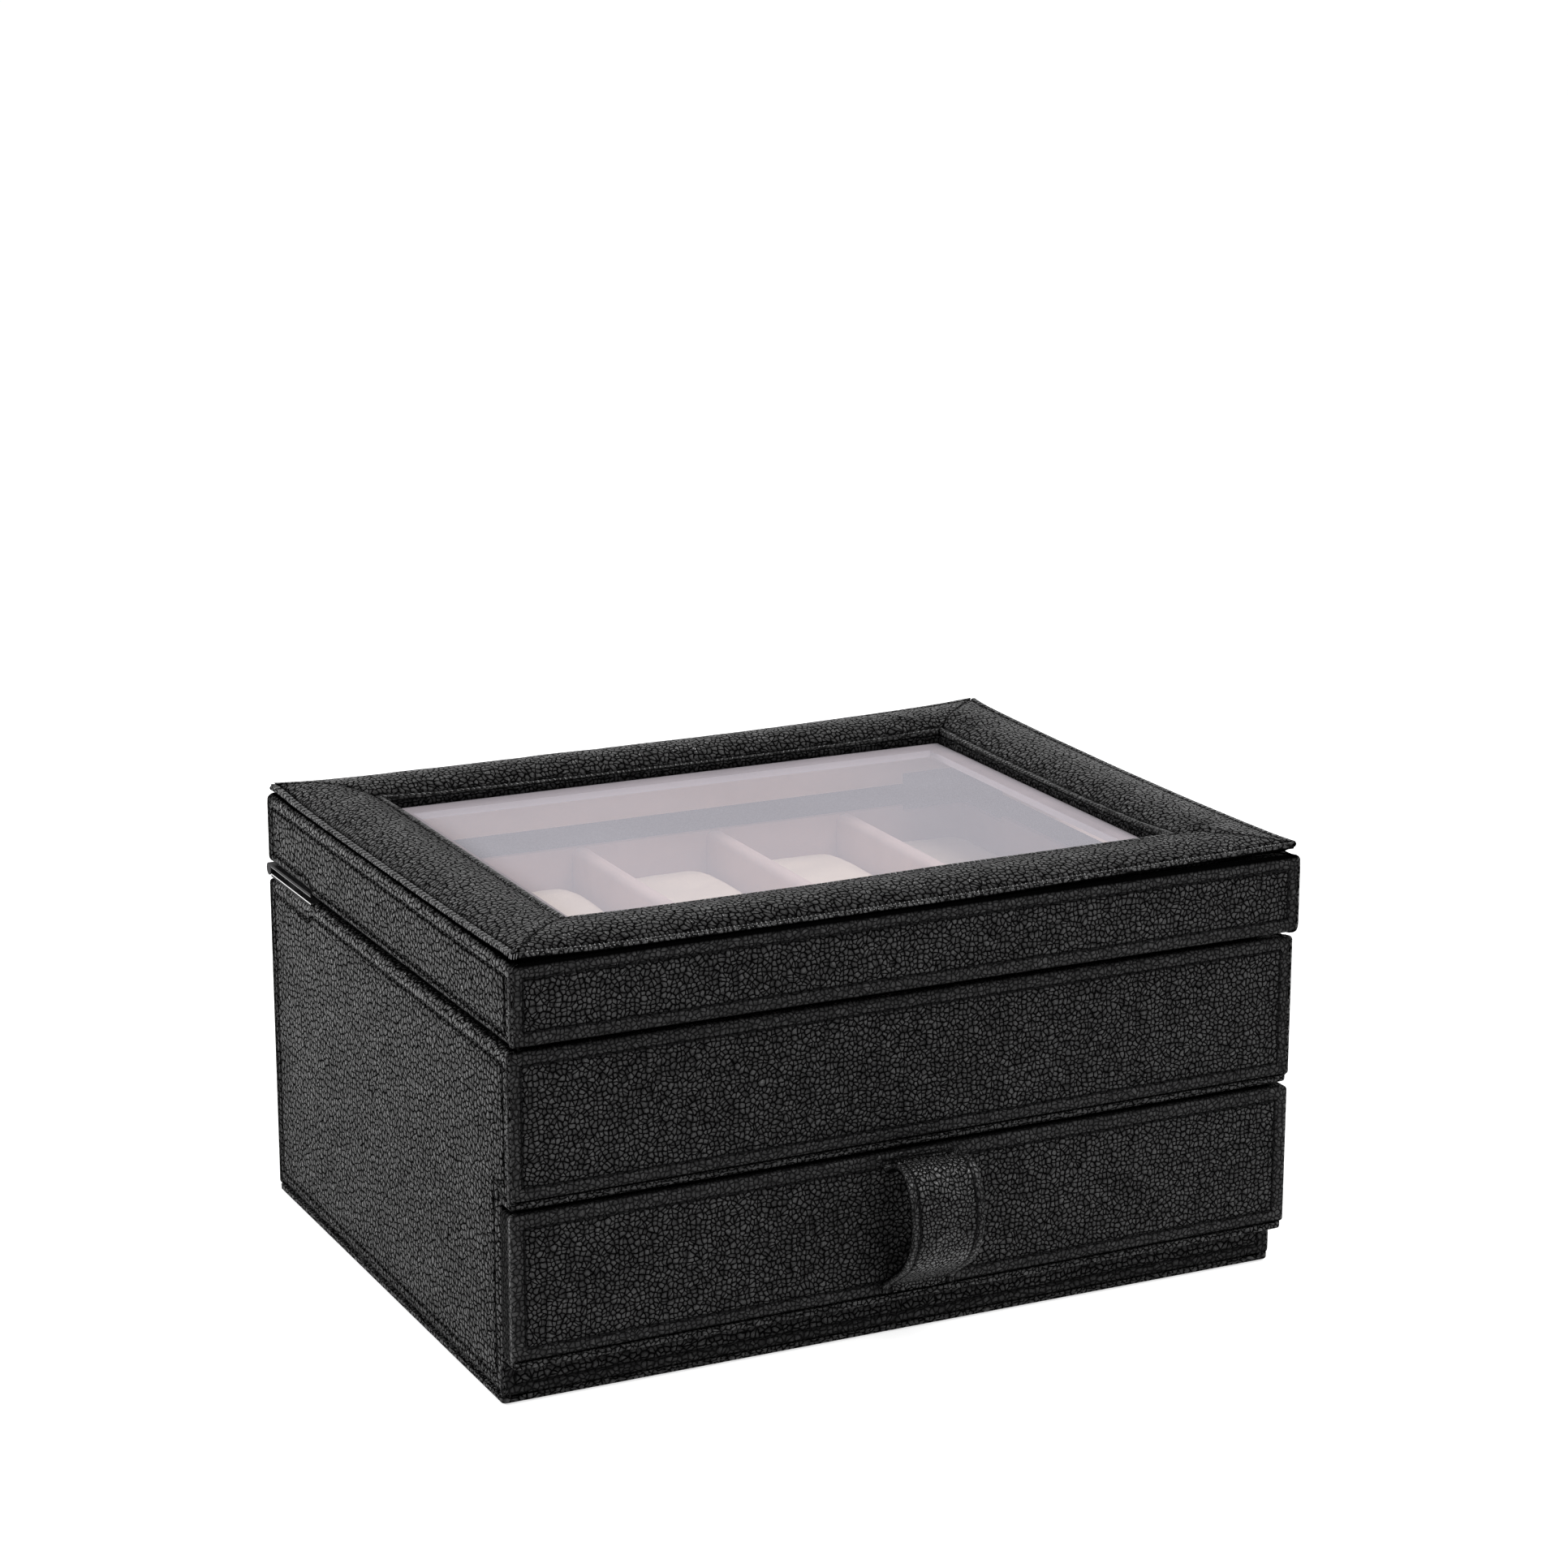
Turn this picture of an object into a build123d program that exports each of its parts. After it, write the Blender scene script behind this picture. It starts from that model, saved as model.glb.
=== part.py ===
from build123d import *
import math
import os

# Watch box with ten cushioned cells under a glazed, padded lid, and a drawer below.
# Millimetres. The origin is the middle of the footprint, on the ground: +X right, +Y to the hinges, +Z up.

# Case
body_width = 254.5
body_depth = 200.0
wall = 8.0                     # covered panel, leather on both faces
corner_radius = 1.5            # leather pulled round an upright corner
edge_radius = 0.8              # leather pulled round a panel's rim
felt_thickness = 0.5
felt_inset = 3.0
base_board = 2.0
base_board_inset = 0.2
plinth_height = 10.7
plinth_setback = 8.0
deck_thickness = 3.0
drawer_bay = 47.6              # clear height between the deck and the chamber floor
chamber_floor_board = 2.0
lip_setback = 0.6
chamber_height = 44.2          # from the floor board to the rim

# Watch chamber
lining = 2.0
lining_below_rim = 3.8
floor_card = 1.4
columns = 5
rows = 2
divider = 6.0
divider_round = 2.4
lap_clearance = 0.15
divider_clearance = 0.2
hinge_relief_x = 25.0          # the linings are cut back round the hinges
hinge_relief_y = 29.0
hinge_relief_case = 2.0
hinge_relief_lid = 3.5

# Watch cushions
cushion_clearance = 0.6
cushion_height = 29.0
cushion_end_height = 25.0
cushion_draw_in = 2.2
cushion_shoulder = 5.0         # from the crown down to the top of a flank
rest_gap = 0.3

# Drawer
drawer_gap = 0.3
drawer_board = 2.0
drawer_front_inset = 0.6
drawer_head_gap = 1.3          # from the drawer front up to the chamber floor
drawer_side = 6.0
drawer_side_below = 3.0        # from the top of the front down to the sides
drawer_side_clearance = 0.75
drawer_back_clearance = 2.0
drawer_card = 1.2
front_edge_radius = 1.0

# Pull loop: each bend's radius, as a share of the height between the tabs, and its turn in degrees,
# from the upper tab down to the straight run
loop_width = 23.5
loop_thickness = 2.0
loop_tab = 0.7
loop_edge = 1.7                # from the ends of the strap's centre line to the edges of the drawer front
loop_bends = ((0.0406, 122), (1.036, -6), (0.1752, -83), (0.5434, -88))
loop_foot = 0.0889             # share of the last bend, at the lower tab

# Lid
lid_gap = 1.9                  # between the two rims
lid_overhang = 2.9             # over the front panel
lid_wall_height = 24.1
top_board = 2.0
board_side_inset = 1.4
board_front_inset = 0.7
board_back_inset = 0.2
board_radius = 0.9
frame_strip = 27.8             # from the board's edge to the window
pad_inset = 0.5
pad_flange = 2.4
pad_flange_rise = 0.7
pad_crown = 3.1
bead_height = 2.0
bead_lip = 1.2
glass_thickness = 2.5
glass_bearing = 5.0
glass_clearance = 0.3
retainer_ledge = 7.0
retainer_board = 2.2
retainer_clearance = 0.2
lid_lining = 1.6
lid_lining_rise = 1.9

# Hinges, let into both rims at the back corners
leaf_length = 39.0
leaf_width = 6.0
leaf_thickness = 1.0
leaf_inset = 0.35
leaf_seat = 0.1
pin_behind = 0.8
knuckle_radius = 2.0
knuckle_gap = 0.15
knuckle_relief = 0.35
pin_radius = 0.9
pin_running = 0.05
screw_radius = 0.8
screw_head_radius = 1.5
screw_length = 8.0
screw_clearance = 0.04
countersink = 90               # degrees
screw_places = (0.3, 0.75)     # along the leaf, from its front end

half_w = body_width / 2
half_d = body_depth / 2
base_top = felt_thickness + base_board
deck_top = base_top + plinth_height
chamber_under = deck_top + drawer_bay
floor_top = chamber_under + chamber_floor_board
rim = floor_top + chamber_height
plinth_face = -half_d + plinth_setback
inner_x = half_w - wall
inner_y = half_d - wall
lining_top = rim - lining_below_rim
card_top = floor_top + floor_card

lid_low = rim + lid_gap
lid_high = lid_low + lid_wall_height
board_high = lid_high + top_board
lid_front_y = -half_d - lid_overhang
board_x = half_w - board_side_inset
board_front_y = lid_front_y + board_front_inset
board_back_y = half_d - board_back_inset
window_x = board_x - frame_strip
window_front_y = board_front_y + frame_strip
window_back_y = board_back_y - frame_strip
glass_high = lid_high - bead_height
glass_low = glass_high - glass_thickness
retainer_low = glass_low - retainer_board

pin_y = half_d + pin_behind
pin_z = rim + lid_gap / 2
case_leaf_low = pin_z - knuckle_radius
lid_leaf_low = pin_z + knuckle_radius - leaf_thickness
leaf_front = half_d - leaf_length
sides = (("left", -1), ("right", 1))

os.makedirs("parts", exist_ok=True)


def write(piece, name):
    piece.part.label = name
    export_step(piece.part, f"parts/{name}.step")


def block(x0, x1, y0, y1, z0, z1, mode=Mode.ADD):
    """A box between two corners."""
    with BuildSketch(Plane.XY.offset(z0)) as outline:
        with Locations(((x0 + x1) / 2, (y0 + y1) / 2)):
            Rectangle(abs(x1 - x0), y1 - y0)
    extrude(outline.sketch, amount=z1 - z0, mode=mode)


def mitre_off_side(side, y_end, y_inner, low, high):
    """Take the mitre off a side panel's end: the wedge belongs to the front or back panel."""
    with BuildSketch(Plane.XY.offset(low)) as wedge:
        with BuildLine():
            Polyline((side * half_w, y_end), (side * inner_x, y_end), (side * inner_x, y_inner), close=True)
        make_face()
    extrude(wedge.sketch, amount=high - low, mode=Mode.SUBTRACT)


def mitre_off_ends(y_end, y_inner, low, high):
    """Take the mitres off both ends of a front or back panel."""
    for _, side in sides:
        with BuildSketch(Plane.XY.offset(low)) as wedge:
            with BuildLine():
                Polyline((side * half_w, y_end), (side * half_w, y_inner), (side * inner_x, y_inner),
                         close=True)
            make_face()
        extrude(wedge.sketch, amount=high - low, mode=Mode.SUBTRACT)


def ring(x_out, y_low_out, y_high_out, x_in, y_low_in, y_high_in, z0, z1, mode=Mode.ADD):
    """A rectangular ring between an outer and an inner outline."""
    with BuildSketch(Plane.XY.offset(z0)) as outline:
        with Locations((0, (y_low_out + y_high_out) / 2)):
            Rectangle(2 * x_out, y_high_out - y_low_out)
        with Locations((0, (y_low_in + y_high_in) / 2)):
            Rectangle(2 * x_in, y_high_in - y_low_in, mode=Mode.SUBTRACT)
    extrude(outline.sketch, amount=z1 - z0, mode=mode)


def screw_axis(side, place):
    """Where a hinge screw stands on its leaf."""
    return (side * (half_w - leaf_inset - leaf_width / 2), leaf_front + place * leaf_length)


def cut_hinge_seat(side, seat_z, depth, pilot_from, pilot_length):
    """Let a hinge leaf, its knuckle and its screws into a rim. A negative depth or length cuts downwards."""
    low, high = sorted((seat_z, seat_z + depth))
    block(side * (half_w + wall), side * (half_w - leaf_inset - leaf_width - leaf_seat),
          leaf_front - leaf_seat, half_d + wall, low, high, mode=Mode.SUBTRACT)
    with BuildSketch(Plane.YZ.offset(side * (half_w - leaf_inset - leaf_width - leaf_seat))) as relief:
        with Locations((pin_y, pin_z)):
            Circle(knuckle_radius + knuckle_relief)
    extrude(relief.sketch, amount=side * 2 * wall, mode=Mode.SUBTRACT)
    with BuildSketch(Plane.XY.offset(pilot_from)) as pilots:
        with Locations([screw_axis(side, place) for place in screw_places]):
            Circle(screw_radius + screw_clearance)
    extrude(pilots.sketch, amount=pilot_length, mode=Mode.SUBTRACT)


def cut_case_hinge(side):
    cut_hinge_seat(side, rim, case_leaf_low - leaf_seat / 2 - rim, rim, -screw_length - leaf_seat)


def cut_lid_hinge(side):
    top = lid_leaf_low + leaf_thickness + leaf_seat / 2
    cut_hinge_seat(side, lid_low, top - lid_low, lid_low, screw_length + leaf_seat)


# Case side panels: one board each, notched in front so that the drawer front overlays its end
for name, side in sides:
    with BuildPart() as side_panel:
        with BuildSketch(Plane.YZ.offset(side * inner_x)):
            with BuildLine():
                Polyline(
                    (-half_d, floor_top), (-half_d, rim), (half_d, rim), (half_d, base_top),
                    (plinth_face, base_top), (plinth_face, floor_top), close=True,
                )
            make_face()
        extrude(amount=side * wall)
        outer = side_panel.edges().filter_by(Axis.Z).group_by(Axis.X)[0 if side < 0 else -1]
        fillet(outer, corner_radius)
        fillet(side_panel.faces().sort_by(Axis.Z)[-1].edges(), edge_radius)
        mitre_off_side(side, -half_d, -inner_y, floor_top, rim)
        mitre_off_side(side, plinth_face, plinth_face + wall, base_top, deck_top)
        mitre_off_side(side, half_d, inner_y, base_top, rim)
        cut_case_hinge(side)
    write(side_panel, f"{name}_side")

# Case back and front panels, mitred into the sides
with BuildPart() as back_panel:
    block(-half_w, half_w, inner_y, half_d, base_top, rim)
    fillet(back_panel.edges().filter_by(Axis.Z).group_by(Axis.Y)[-1], corner_radius)
    fillet(back_panel.faces().sort_by(Axis.Z)[-1].edges(), edge_radius)
    mitre_off_ends(half_d, inner_y, base_top, rim)
    for _, side in sides:
        cut_case_hinge(side)
write(back_panel, "back_panel")

with BuildPart() as front_panel:
    block(-half_w, half_w, -half_d, -inner_y, floor_top, rim)
    fillet(front_panel.edges().filter_by(Axis.Z).group_by(Axis.Y)[0], corner_radius)
    fillet(front_panel.faces().sort_by(Axis.Z)[-1].edges(), edge_radius)
    mitre_off_ends(-half_d, -inner_y, floor_top, rim)
write(front_panel, "front_panel")

# Chamber floor: a thin covered board whose lip runs out under the front panel, down to the side notches
with BuildPart() as chamber_floor:
    block(-half_w + lip_setback, half_w - lip_setback, -half_d + lip_setback, plinth_face,
          chamber_under, floor_top)
    fillet(chamber_floor.edges().filter_by(Axis.Z).group_by(Axis.Y)[0], corner_radius)
    lip = chamber_floor.faces().sort_by(Axis.Z)[0].edges() - chamber_floor.edges().group_by(Axis.Y)[-1]
    fillet(lip, edge_radius)
    block(-inner_x, inner_x, plinth_face, inner_y, chamber_under, floor_top)
write(chamber_floor, "chamber_floor")

# Plinth: the set-back rail, the deck that the drawer slides on, and the bottom board
with BuildPart() as plinth_rail:
    block(-half_w, half_w, plinth_face, plinth_face + wall, base_top, deck_top)
    fillet(plinth_rail.edges().filter_by(Axis.Z).group_by(Axis.Y)[0], corner_radius)
    mitre_off_ends(plinth_face, plinth_face + wall, base_top, deck_top)
write(plinth_rail, "plinth_rail")

with BuildPart() as drawer_deck:
    block(-inner_x, inner_x, plinth_face + wall, inner_y, deck_top - deck_thickness, deck_top)
write(drawer_deck, "drawer_deck")

with BuildPart() as bottom_board:
    block(-half_w + base_board_inset, half_w - base_board_inset, plinth_face + base_board_inset,
          half_d - base_board_inset, felt_thickness, base_top)
    fillet(bottom_board.edges().filter_by(Axis.Z), corner_radius)
    fillet(bottom_board.faces().sort_by(Axis.Z)[0].edges(), edge_radius)
write(bottom_board, "bottom_board")

with BuildPart() as base_felt:
    block(-half_w + felt_inset, half_w - felt_inset, plinth_face + felt_inset, half_d - felt_inset,
          0, felt_thickness)
write(base_felt, "base_felt")

# Watch chamber: suede-covered cards round the walls and on the floor, cut back round the hinges
with BuildPart() as chamber_lining:
    ring(inner_x, -inner_y, inner_y, inner_x - lining, -inner_y + lining, inner_y - lining,
         floor_top, lining_top)
    for _, side in sides:
        block(side * inner_x, side * (inner_x - hinge_relief_x), inner_y - hinge_relief_y, inner_y,
              lining_top - hinge_relief_case, lining_top, mode=Mode.SUBTRACT)
write(chamber_lining, "chamber_lining")

with BuildPart() as floor_lining:
    edge = lining + divider_clearance
    block(-inner_x + edge, inner_x - edge, -inner_y + edge, inner_y - edge, floor_top, card_top)
write(floor_lining, "floor_lining")

# Dividers: one along the box with slots open at the top, four across it with slots open below
cell_x = (2 * (inner_x - lining) - (columns - 1) * divider) / columns
cell_y = (2 * (inner_y - lining) - (rows - 1) * divider) / rows
pitch_x = cell_x + divider
pitch_y = cell_y + divider
column_x = [(column - (columns - 1) / 2) * pitch_x for column in range(columns)]
row_y = [(row - (rows - 1) / 2) * pitch_y for row in range(rows)]
divider_x = [(column + 1 - columns / 2) * pitch_x for column in range(columns - 1)]
divider_top = lining_top - divider_clearance
divider_height = divider_top - card_top
lap_z = card_top + divider_height / 2
slot = divider / 2 + lap_clearance
half_long = inner_x - lining - divider_clearance
half_cross = inner_y - lining - divider_clearance

with BuildPart() as long_divider:
    block(-half_long, half_long, -divider / 2, divider / 2, card_top, divider_top)
    fillet(long_divider.faces().sort_by(Axis.Z)[-1].edges().filter_by(Axis.X), divider_round)
    for x in divider_x:
        block(x - slot, x + slot, -divider, divider, lap_z - lap_clearance, divider_top, mode=Mode.SUBTRACT)
write(long_divider, "long_divider")

for number, x in enumerate(divider_x, start=1):
    with BuildPart() as cross_divider:
        block(x - divider / 2, x + divider / 2, -half_cross, half_cross, card_top, divider_top)
        fillet(cross_divider.faces().sort_by(Axis.Z)[-1].edges().filter_by(Axis.Y), divider_round)
        block(x - divider, x + divider, -slot, slot, card_top, lap_z + lap_clearance, mode=Mode.SUBTRACT)
    write(cross_divider, f"cross_divider_{number}")

# Watch cushions: lofted from end to end, with a crown, drawn-in flanks and lower, narrower ends
cushion_half_x = cell_x / 2 - cushion_clearance
cushion_half_y = cell_y / 2 - cushion_clearance
cushion_low = card_top + rest_gap
# along the cushion: share of its half length, of the height above the ends, and of the flanks' draw-in
cushion_stations = ((-1, -0.35, 1.9), (-0.9, 0.4, 0.6), (-0.6, 1, 0),
                    (0.6, 1, 0), (0.9, 0.4, 0.6), (1, -0.35, 1.9))


def cushion_section(x, y, share, rise, draw):
    """One section of a cushion: flat below, bowed flanks and a crowned top."""
    half = cushion_half_x - draw * cushion_draw_in
    high = cushion_low + cushion_end_height + rise * (cushion_height - cushion_end_height)
    shoulder = high - cushion_shoulder
    waist = (cushion_low + shoulder) / 2
    foot_x = half - cushion_draw_in
    top_x = half - cushion_draw_in / 2
    with BuildSketch(Plane.XZ.offset(-(y + share * cushion_half_y))) as section:
        with BuildLine():
            Line((x - foot_x, cushion_low), (x + foot_x, cushion_low))
            ThreePointArc((x + foot_x, cushion_low), (x + half, waist), (x + top_x, shoulder))
            ThreePointArc((x + top_x, shoulder), (x, high), (x - top_x, shoulder))
            ThreePointArc((x - top_x, shoulder), (x - half, waist), (x - foot_x, cushion_low))
        make_face()
    return section.sketch


cushion_number = 0
for y in row_y:
    for x in column_x:
        cushion_number += 1
        with BuildPart() as cushion:
            loft([cushion_section(x, y, *station) for station in cushion_stations], ruled=True)
        write(cushion, f"cushion_{cushion_number}")

# Drawer: a box on a thin covered board, behind a front that overlays the case
drawer_low = deck_top + drawer_gap
drawer_floor = drawer_low + drawer_board
drawer_front_back = plinth_face - drawer_gap
drawer_x = inner_x - drawer_side_clearance
drawer_back_y = inner_y - drawer_back_clearance
drawer_front_x = half_w - drawer_front_inset
drawer_front_top = chamber_under - drawer_head_gap
drawer_side_top = drawer_front_top - drawer_side_below

with BuildPart() as drawer_front:
    block(-drawer_front_x, drawer_front_x, -half_d, drawer_front_back, drawer_floor, drawer_front_top)
    fillet(drawer_front.edges().filter_by(Axis.Z).group_by(Axis.Y)[0], corner_radius)
    face = drawer_front.faces().sort_by(Axis.Y)[0]
    fillet(face.edges().filter_by(Axis.X).sort_by(Axis.Z)[-1], front_edge_radius)
write(drawer_front, "drawer_front")

with BuildPart() as drawer_bottom:
    block(-drawer_front_x + rest_gap, drawer_front_x - rest_gap, -half_d + rest_gap, drawer_front_back,
          drawer_low, drawer_floor)
    fillet(drawer_bottom.edges().filter_by(Axis.Z).group_by(Axis.Y)[0], corner_radius)
    lip = drawer_bottom.faces().sort_by(Axis.Z)[0].edges() - drawer_bottom.edges().group_by(Axis.Y)[-1]
    fillet(lip, edge_radius)
    block(-drawer_x, drawer_x, drawer_front_back, drawer_back_y, drawer_low, drawer_floor)
write(drawer_bottom, "drawer_bottom")

for name, side in sides:
    with BuildPart() as drawer_wall:
        block(side * drawer_x, side * (drawer_x - drawer_side), drawer_front_back, drawer_back_y,
              drawer_floor, drawer_side_top)
        fillet(drawer_wall.faces().sort_by(Axis.Z)[-1].edges().filter_by(Axis.Y), front_edge_radius)
    write(drawer_wall, f"drawer_{name}")

with BuildPart() as drawer_back:
    block(-drawer_x + drawer_side, drawer_x - drawer_side, drawer_back_y - drawer_side, drawer_back_y,
          drawer_floor, drawer_side_top)
    fillet(drawer_back.faces().sort_by(Axis.Z)[-1].edges().filter_by(Axis.X), front_edge_radius)
write(drawer_back, "drawer_back")

with BuildPart() as drawer_lining:
    edge = drawer_x - drawer_side - divider_clearance
    block(-edge, edge, drawer_front_back + divider_clearance, drawer_back_y - drawer_side - divider_clearance,
          drawer_floor, drawer_floor + drawer_card)
write(drawer_lining, "drawer_lining")


def bend(point, heading, radius, turn):
    """An arc from a point along a heading in degrees. It returns the arc's end and the new heading."""
    sign = 1 if turn > 0 else -1
    centre = Vector(*point) + Vector(radius, 0).rotate(Axis.Z, heading + sign * 90)
    CenterArc((centre.X, centre.Y), radius, heading - sign * 90, turn)
    end = centre + Vector(radius, 0).rotate(Axis.Z, heading - sign * 90 + turn)
    return (end.X, end.Y), heading + turn


# Pull loop: one strap, sewn flat to the drawer front at both ends and arched between them.
# Seen from the right with the front to the left, a heading of -90 degrees is straight down.
strap_y = -half_d - loop_thickness / 2
loop_top = drawer_front_top - loop_edge
loop_low = drawer_floor + loop_edge
loop_drop = loop_top - loop_low - 2 * loop_tab
with BuildPart() as pull_loop:
    with BuildSketch(Plane.YZ.offset(-loop_width / 2)):
        with BuildLine(mode=Mode.PRIVATE) as strap:
            point = (strap_y, loop_top - loop_tab)
            Line((strap_y, loop_top), point)
            heading = -90
            for share, turn in loop_bends:
                point, heading = bend(point, heading, share * loop_drop, -turn)
            slope = math.radians(heading)
            foot_radius = loop_foot * loop_drop
            run = (strap_y - point[0] - foot_radius * (1 + math.sin(slope))) / math.cos(slope)
            foot = (point[0] + run * math.cos(slope), point[1] + run * math.sin(slope))
            Line(point, foot)
            point, heading = bend(foot, heading, foot_radius, -90 - heading)
            Line(point, (strap_y, loop_low))
        offset(strap.line, loop_thickness / 2, side=Side.BOTH)
        make_face()
    extrude(amount=loop_width)
write(pull_loop, "pull_loop")

# Lid walls, mitred at all four corners
for name, side in sides:
    with BuildPart() as lid_side:
        block(side * half_w, side * inner_x, lid_front_y, half_d, lid_low, lid_high)
        fillet(lid_side.edges().filter_by(Axis.Z).group_by(Axis.X)[0 if side < 0 else -1], corner_radius)
        fillet(lid_side.faces().sort_by(Axis.Z)[0].edges(), edge_radius)
        top_edges = lid_side.faces().sort_by(Axis.Z)[-1].edges().sort_by(Axis.X)
        fillet(top_edges[0 if side < 0 else -1], edge_radius)
        mitre_off_side(side, lid_front_y, lid_front_y + wall, lid_low, lid_high)
        mitre_off_side(side, half_d, inner_y, lid_low, lid_high)
        cut_lid_hinge(side)
    write(lid_side, f"lid_{name}")

with BuildPart() as lid_back:
    block(-half_w, half_w, inner_y, half_d, lid_low, lid_high)
    fillet(lid_back.edges().filter_by(Axis.Z).group_by(Axis.Y)[-1], corner_radius)
    fillet(lid_back.faces().sort_by(Axis.Z)[0].edges(), edge_radius)
    mitre_off_ends(half_d, inner_y, lid_low, lid_high)
    for _, side in sides:
        cut_lid_hinge(side)
write(lid_back, "lid_back")

with BuildPart() as lid_front:
    block(-half_w, half_w, lid_front_y, lid_front_y + wall, lid_low, lid_high)
    fillet(lid_front.edges().filter_by(Axis.Z).group_by(Axis.Y)[0], corner_radius)
    fillet(lid_front.faces().sort_by(Axis.Z)[0].edges(), edge_radius)
    mitre_off_ends(lid_front_y, lid_front_y + wall, lid_low, lid_high)
write(lid_front, "lid_front")

# Top board with the window, and the bead, glass and retainer under it
with BuildPart() as lid_top_board:
    block(-board_x, board_x, board_front_y, board_back_y, lid_high, board_high)
    fillet(lid_top_board.edges().filter_by(Axis.Z), corner_radius)
    fillet(lid_top_board.faces().sort_by(Axis.Z)[0].edges(), board_radius)
    block(-window_x, window_x, window_front_y, window_back_y, lid_high, board_high, mode=Mode.SUBTRACT)
write(lid_top_board, "lid_top_board")

inside_x = inner_x - retainer_clearance
inside_front_y = lid_front_y + wall + retainer_clearance
inside_back_y = inner_y - retainer_clearance
with BuildPart() as window_bead:
    ring(inside_x, inside_front_y, inside_back_y, window_x - bead_lip, window_front_y + bead_lip,
         window_back_y - bead_lip, glass_high, lid_high)
write(window_bead, "window_bead")

with BuildPart() as glass_pane:
    block(-window_x - glass_bearing, window_x + glass_bearing, window_front_y - glass_bearing,
          window_back_y + glass_bearing, glass_low, glass_high)
write(glass_pane, "glass_pane")

with BuildPart() as glass_retainer:
    seat = glass_bearing + glass_clearance
    ring(inside_x, inside_front_y, inside_back_y, window_x - retainer_ledge, window_front_y + retainer_ledge,
         window_back_y - retainer_ledge, retainer_low, glass_low)
    ring(inside_x, inside_front_y, inside_back_y, window_x + seat, window_front_y - seat,
         window_back_y + seat, glass_low, glass_high)
write(glass_retainer, "glass_retainer")

with BuildPart() as lid_lining_card:
    front_y = lid_front_y + wall
    ring(inner_x, front_y, inner_y, inner_x - lid_lining, front_y + lid_lining, inner_y - lid_lining,
         lid_low + lid_lining_rise, retainer_low)
    for _, side in sides:
        block(side * inner_x, side * (inner_x - hinge_relief_x), inner_y - hinge_relief_y, inner_y,
              lid_low + lid_lining_rise, lid_low + lid_lining_rise + hinge_relief_lid, mode=Mode.SUBTRACT)
write(lid_lining_card, "lid_lining")


def pad_outline():
    """Section of a padded strip, from its outer edge inwards: a stitched flange, then the crown."""
    flange_top = board_high + pad_flange_rise
    inner_edge = frame_strip - pad_inset
    with BuildLine() as outline:
        Polyline((inner_edge, flange_top), (inner_edge, board_high), (pad_inset, board_high),
                 (pad_inset, flange_top), (pad_flange, flange_top))
        ThreePointArc((pad_flange, flange_top), ((pad_flange + inner_edge) / 2, board_high + pad_crown),
                      (inner_edge, flange_top))
    make_face(outline.line)


# Padded strips: the same section on all four edges of the board, mitred at the corners
board_mid_y = (board_front_y + board_back_y) / 2
board_half_y = (board_back_y - board_front_y) / 2
edges = {
    "pad_front": (Plane((0, board_front_y, 0), x_dir=(0, 1, 0), z_dir=(1, 0, 0)), board_x),
    "pad_back": (Plane((0, board_back_y, 0), x_dir=(0, -1, 0), z_dir=(-1, 0, 0)), board_x),
    "pad_left": (Plane((-board_x, board_mid_y, 0), x_dir=(1, 0, 0), z_dir=(0, -1, 0)), board_half_y),
    "pad_right": (Plane((board_x, board_mid_y, 0), x_dir=(-1, 0, 0), z_dir=(0, 1, 0)), board_half_y),
}
for name, (plane, half_length) in edges.items():
    with BuildPart() as pad:
        with BuildSketch(plane):
            pad_outline()
        extrude(amount=half_length, both=True)
        for end in (-1, 1):
            corner = plane.origin + plane.z_dir * end * half_length
            inwards = plane.x_dir - plane.z_dir * end
            across = plane.x_dir + plane.z_dir * end
            split(bisect_by=Plane(corner, x_dir=inwards, z_dir=across), keep=Keep.BOTTOM)
    write(pad, name)


# Hinges: each leaf runs along its rim and curls into knuckles behind the case
knuckles = 3
knuckle_length = (leaf_width - (knuckles - 1) * knuckle_gap) / knuckles


def knuckle_span(side, number):
    """The two ends of a knuckle across the box, number 0 being the outermost."""
    outer = half_w - leaf_inset - number * (knuckle_length + knuckle_gap)
    return side * outer, side * (outer - knuckle_length)


def hinge_leaf(side, low, carried, bore, open_side):
    """A leaf plate with its knuckles curled round the pin, countersunk on its open side: 1 is up, -1 down."""
    outer = side * (half_w - leaf_inset)
    inner = side * (half_w - leaf_inset - leaf_width)
    plate_end = pin_y - knuckle_radius - 2 * knuckle_gap
    block(outer, inner, leaf_front, plate_end, low, low + leaf_thickness)
    for number in carried:
        start, end = knuckle_span(side, number)
        block(start, end, plate_end, pin_y, low, low + leaf_thickness)
        with BuildSketch(Plane.YZ.offset(start)) as curl:
            with Locations((pin_y, pin_z)):
                Circle(knuckle_radius)
        extrude(curl.sketch, amount=end - start)
        with BuildSketch(Plane.YZ.offset(start)) as hole:
            with Locations((pin_y, pin_z)):
                Circle(bore)
        extrude(hole.sketch, amount=end - start, mode=Mode.SUBTRACT)
    head_z = low + max(open_side, 0) * leaf_thickness
    for place in screw_places:
        with Locations(Plane((*screw_axis(side, place), head_z), x_dir=(1, 0, 0), z_dir=(0, 0, open_side))):
            CounterSinkHole(screw_radius + screw_clearance, screw_head_radius + screw_clearance,
                            depth=leaf_thickness, counter_sink_angle=countersink)


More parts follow.
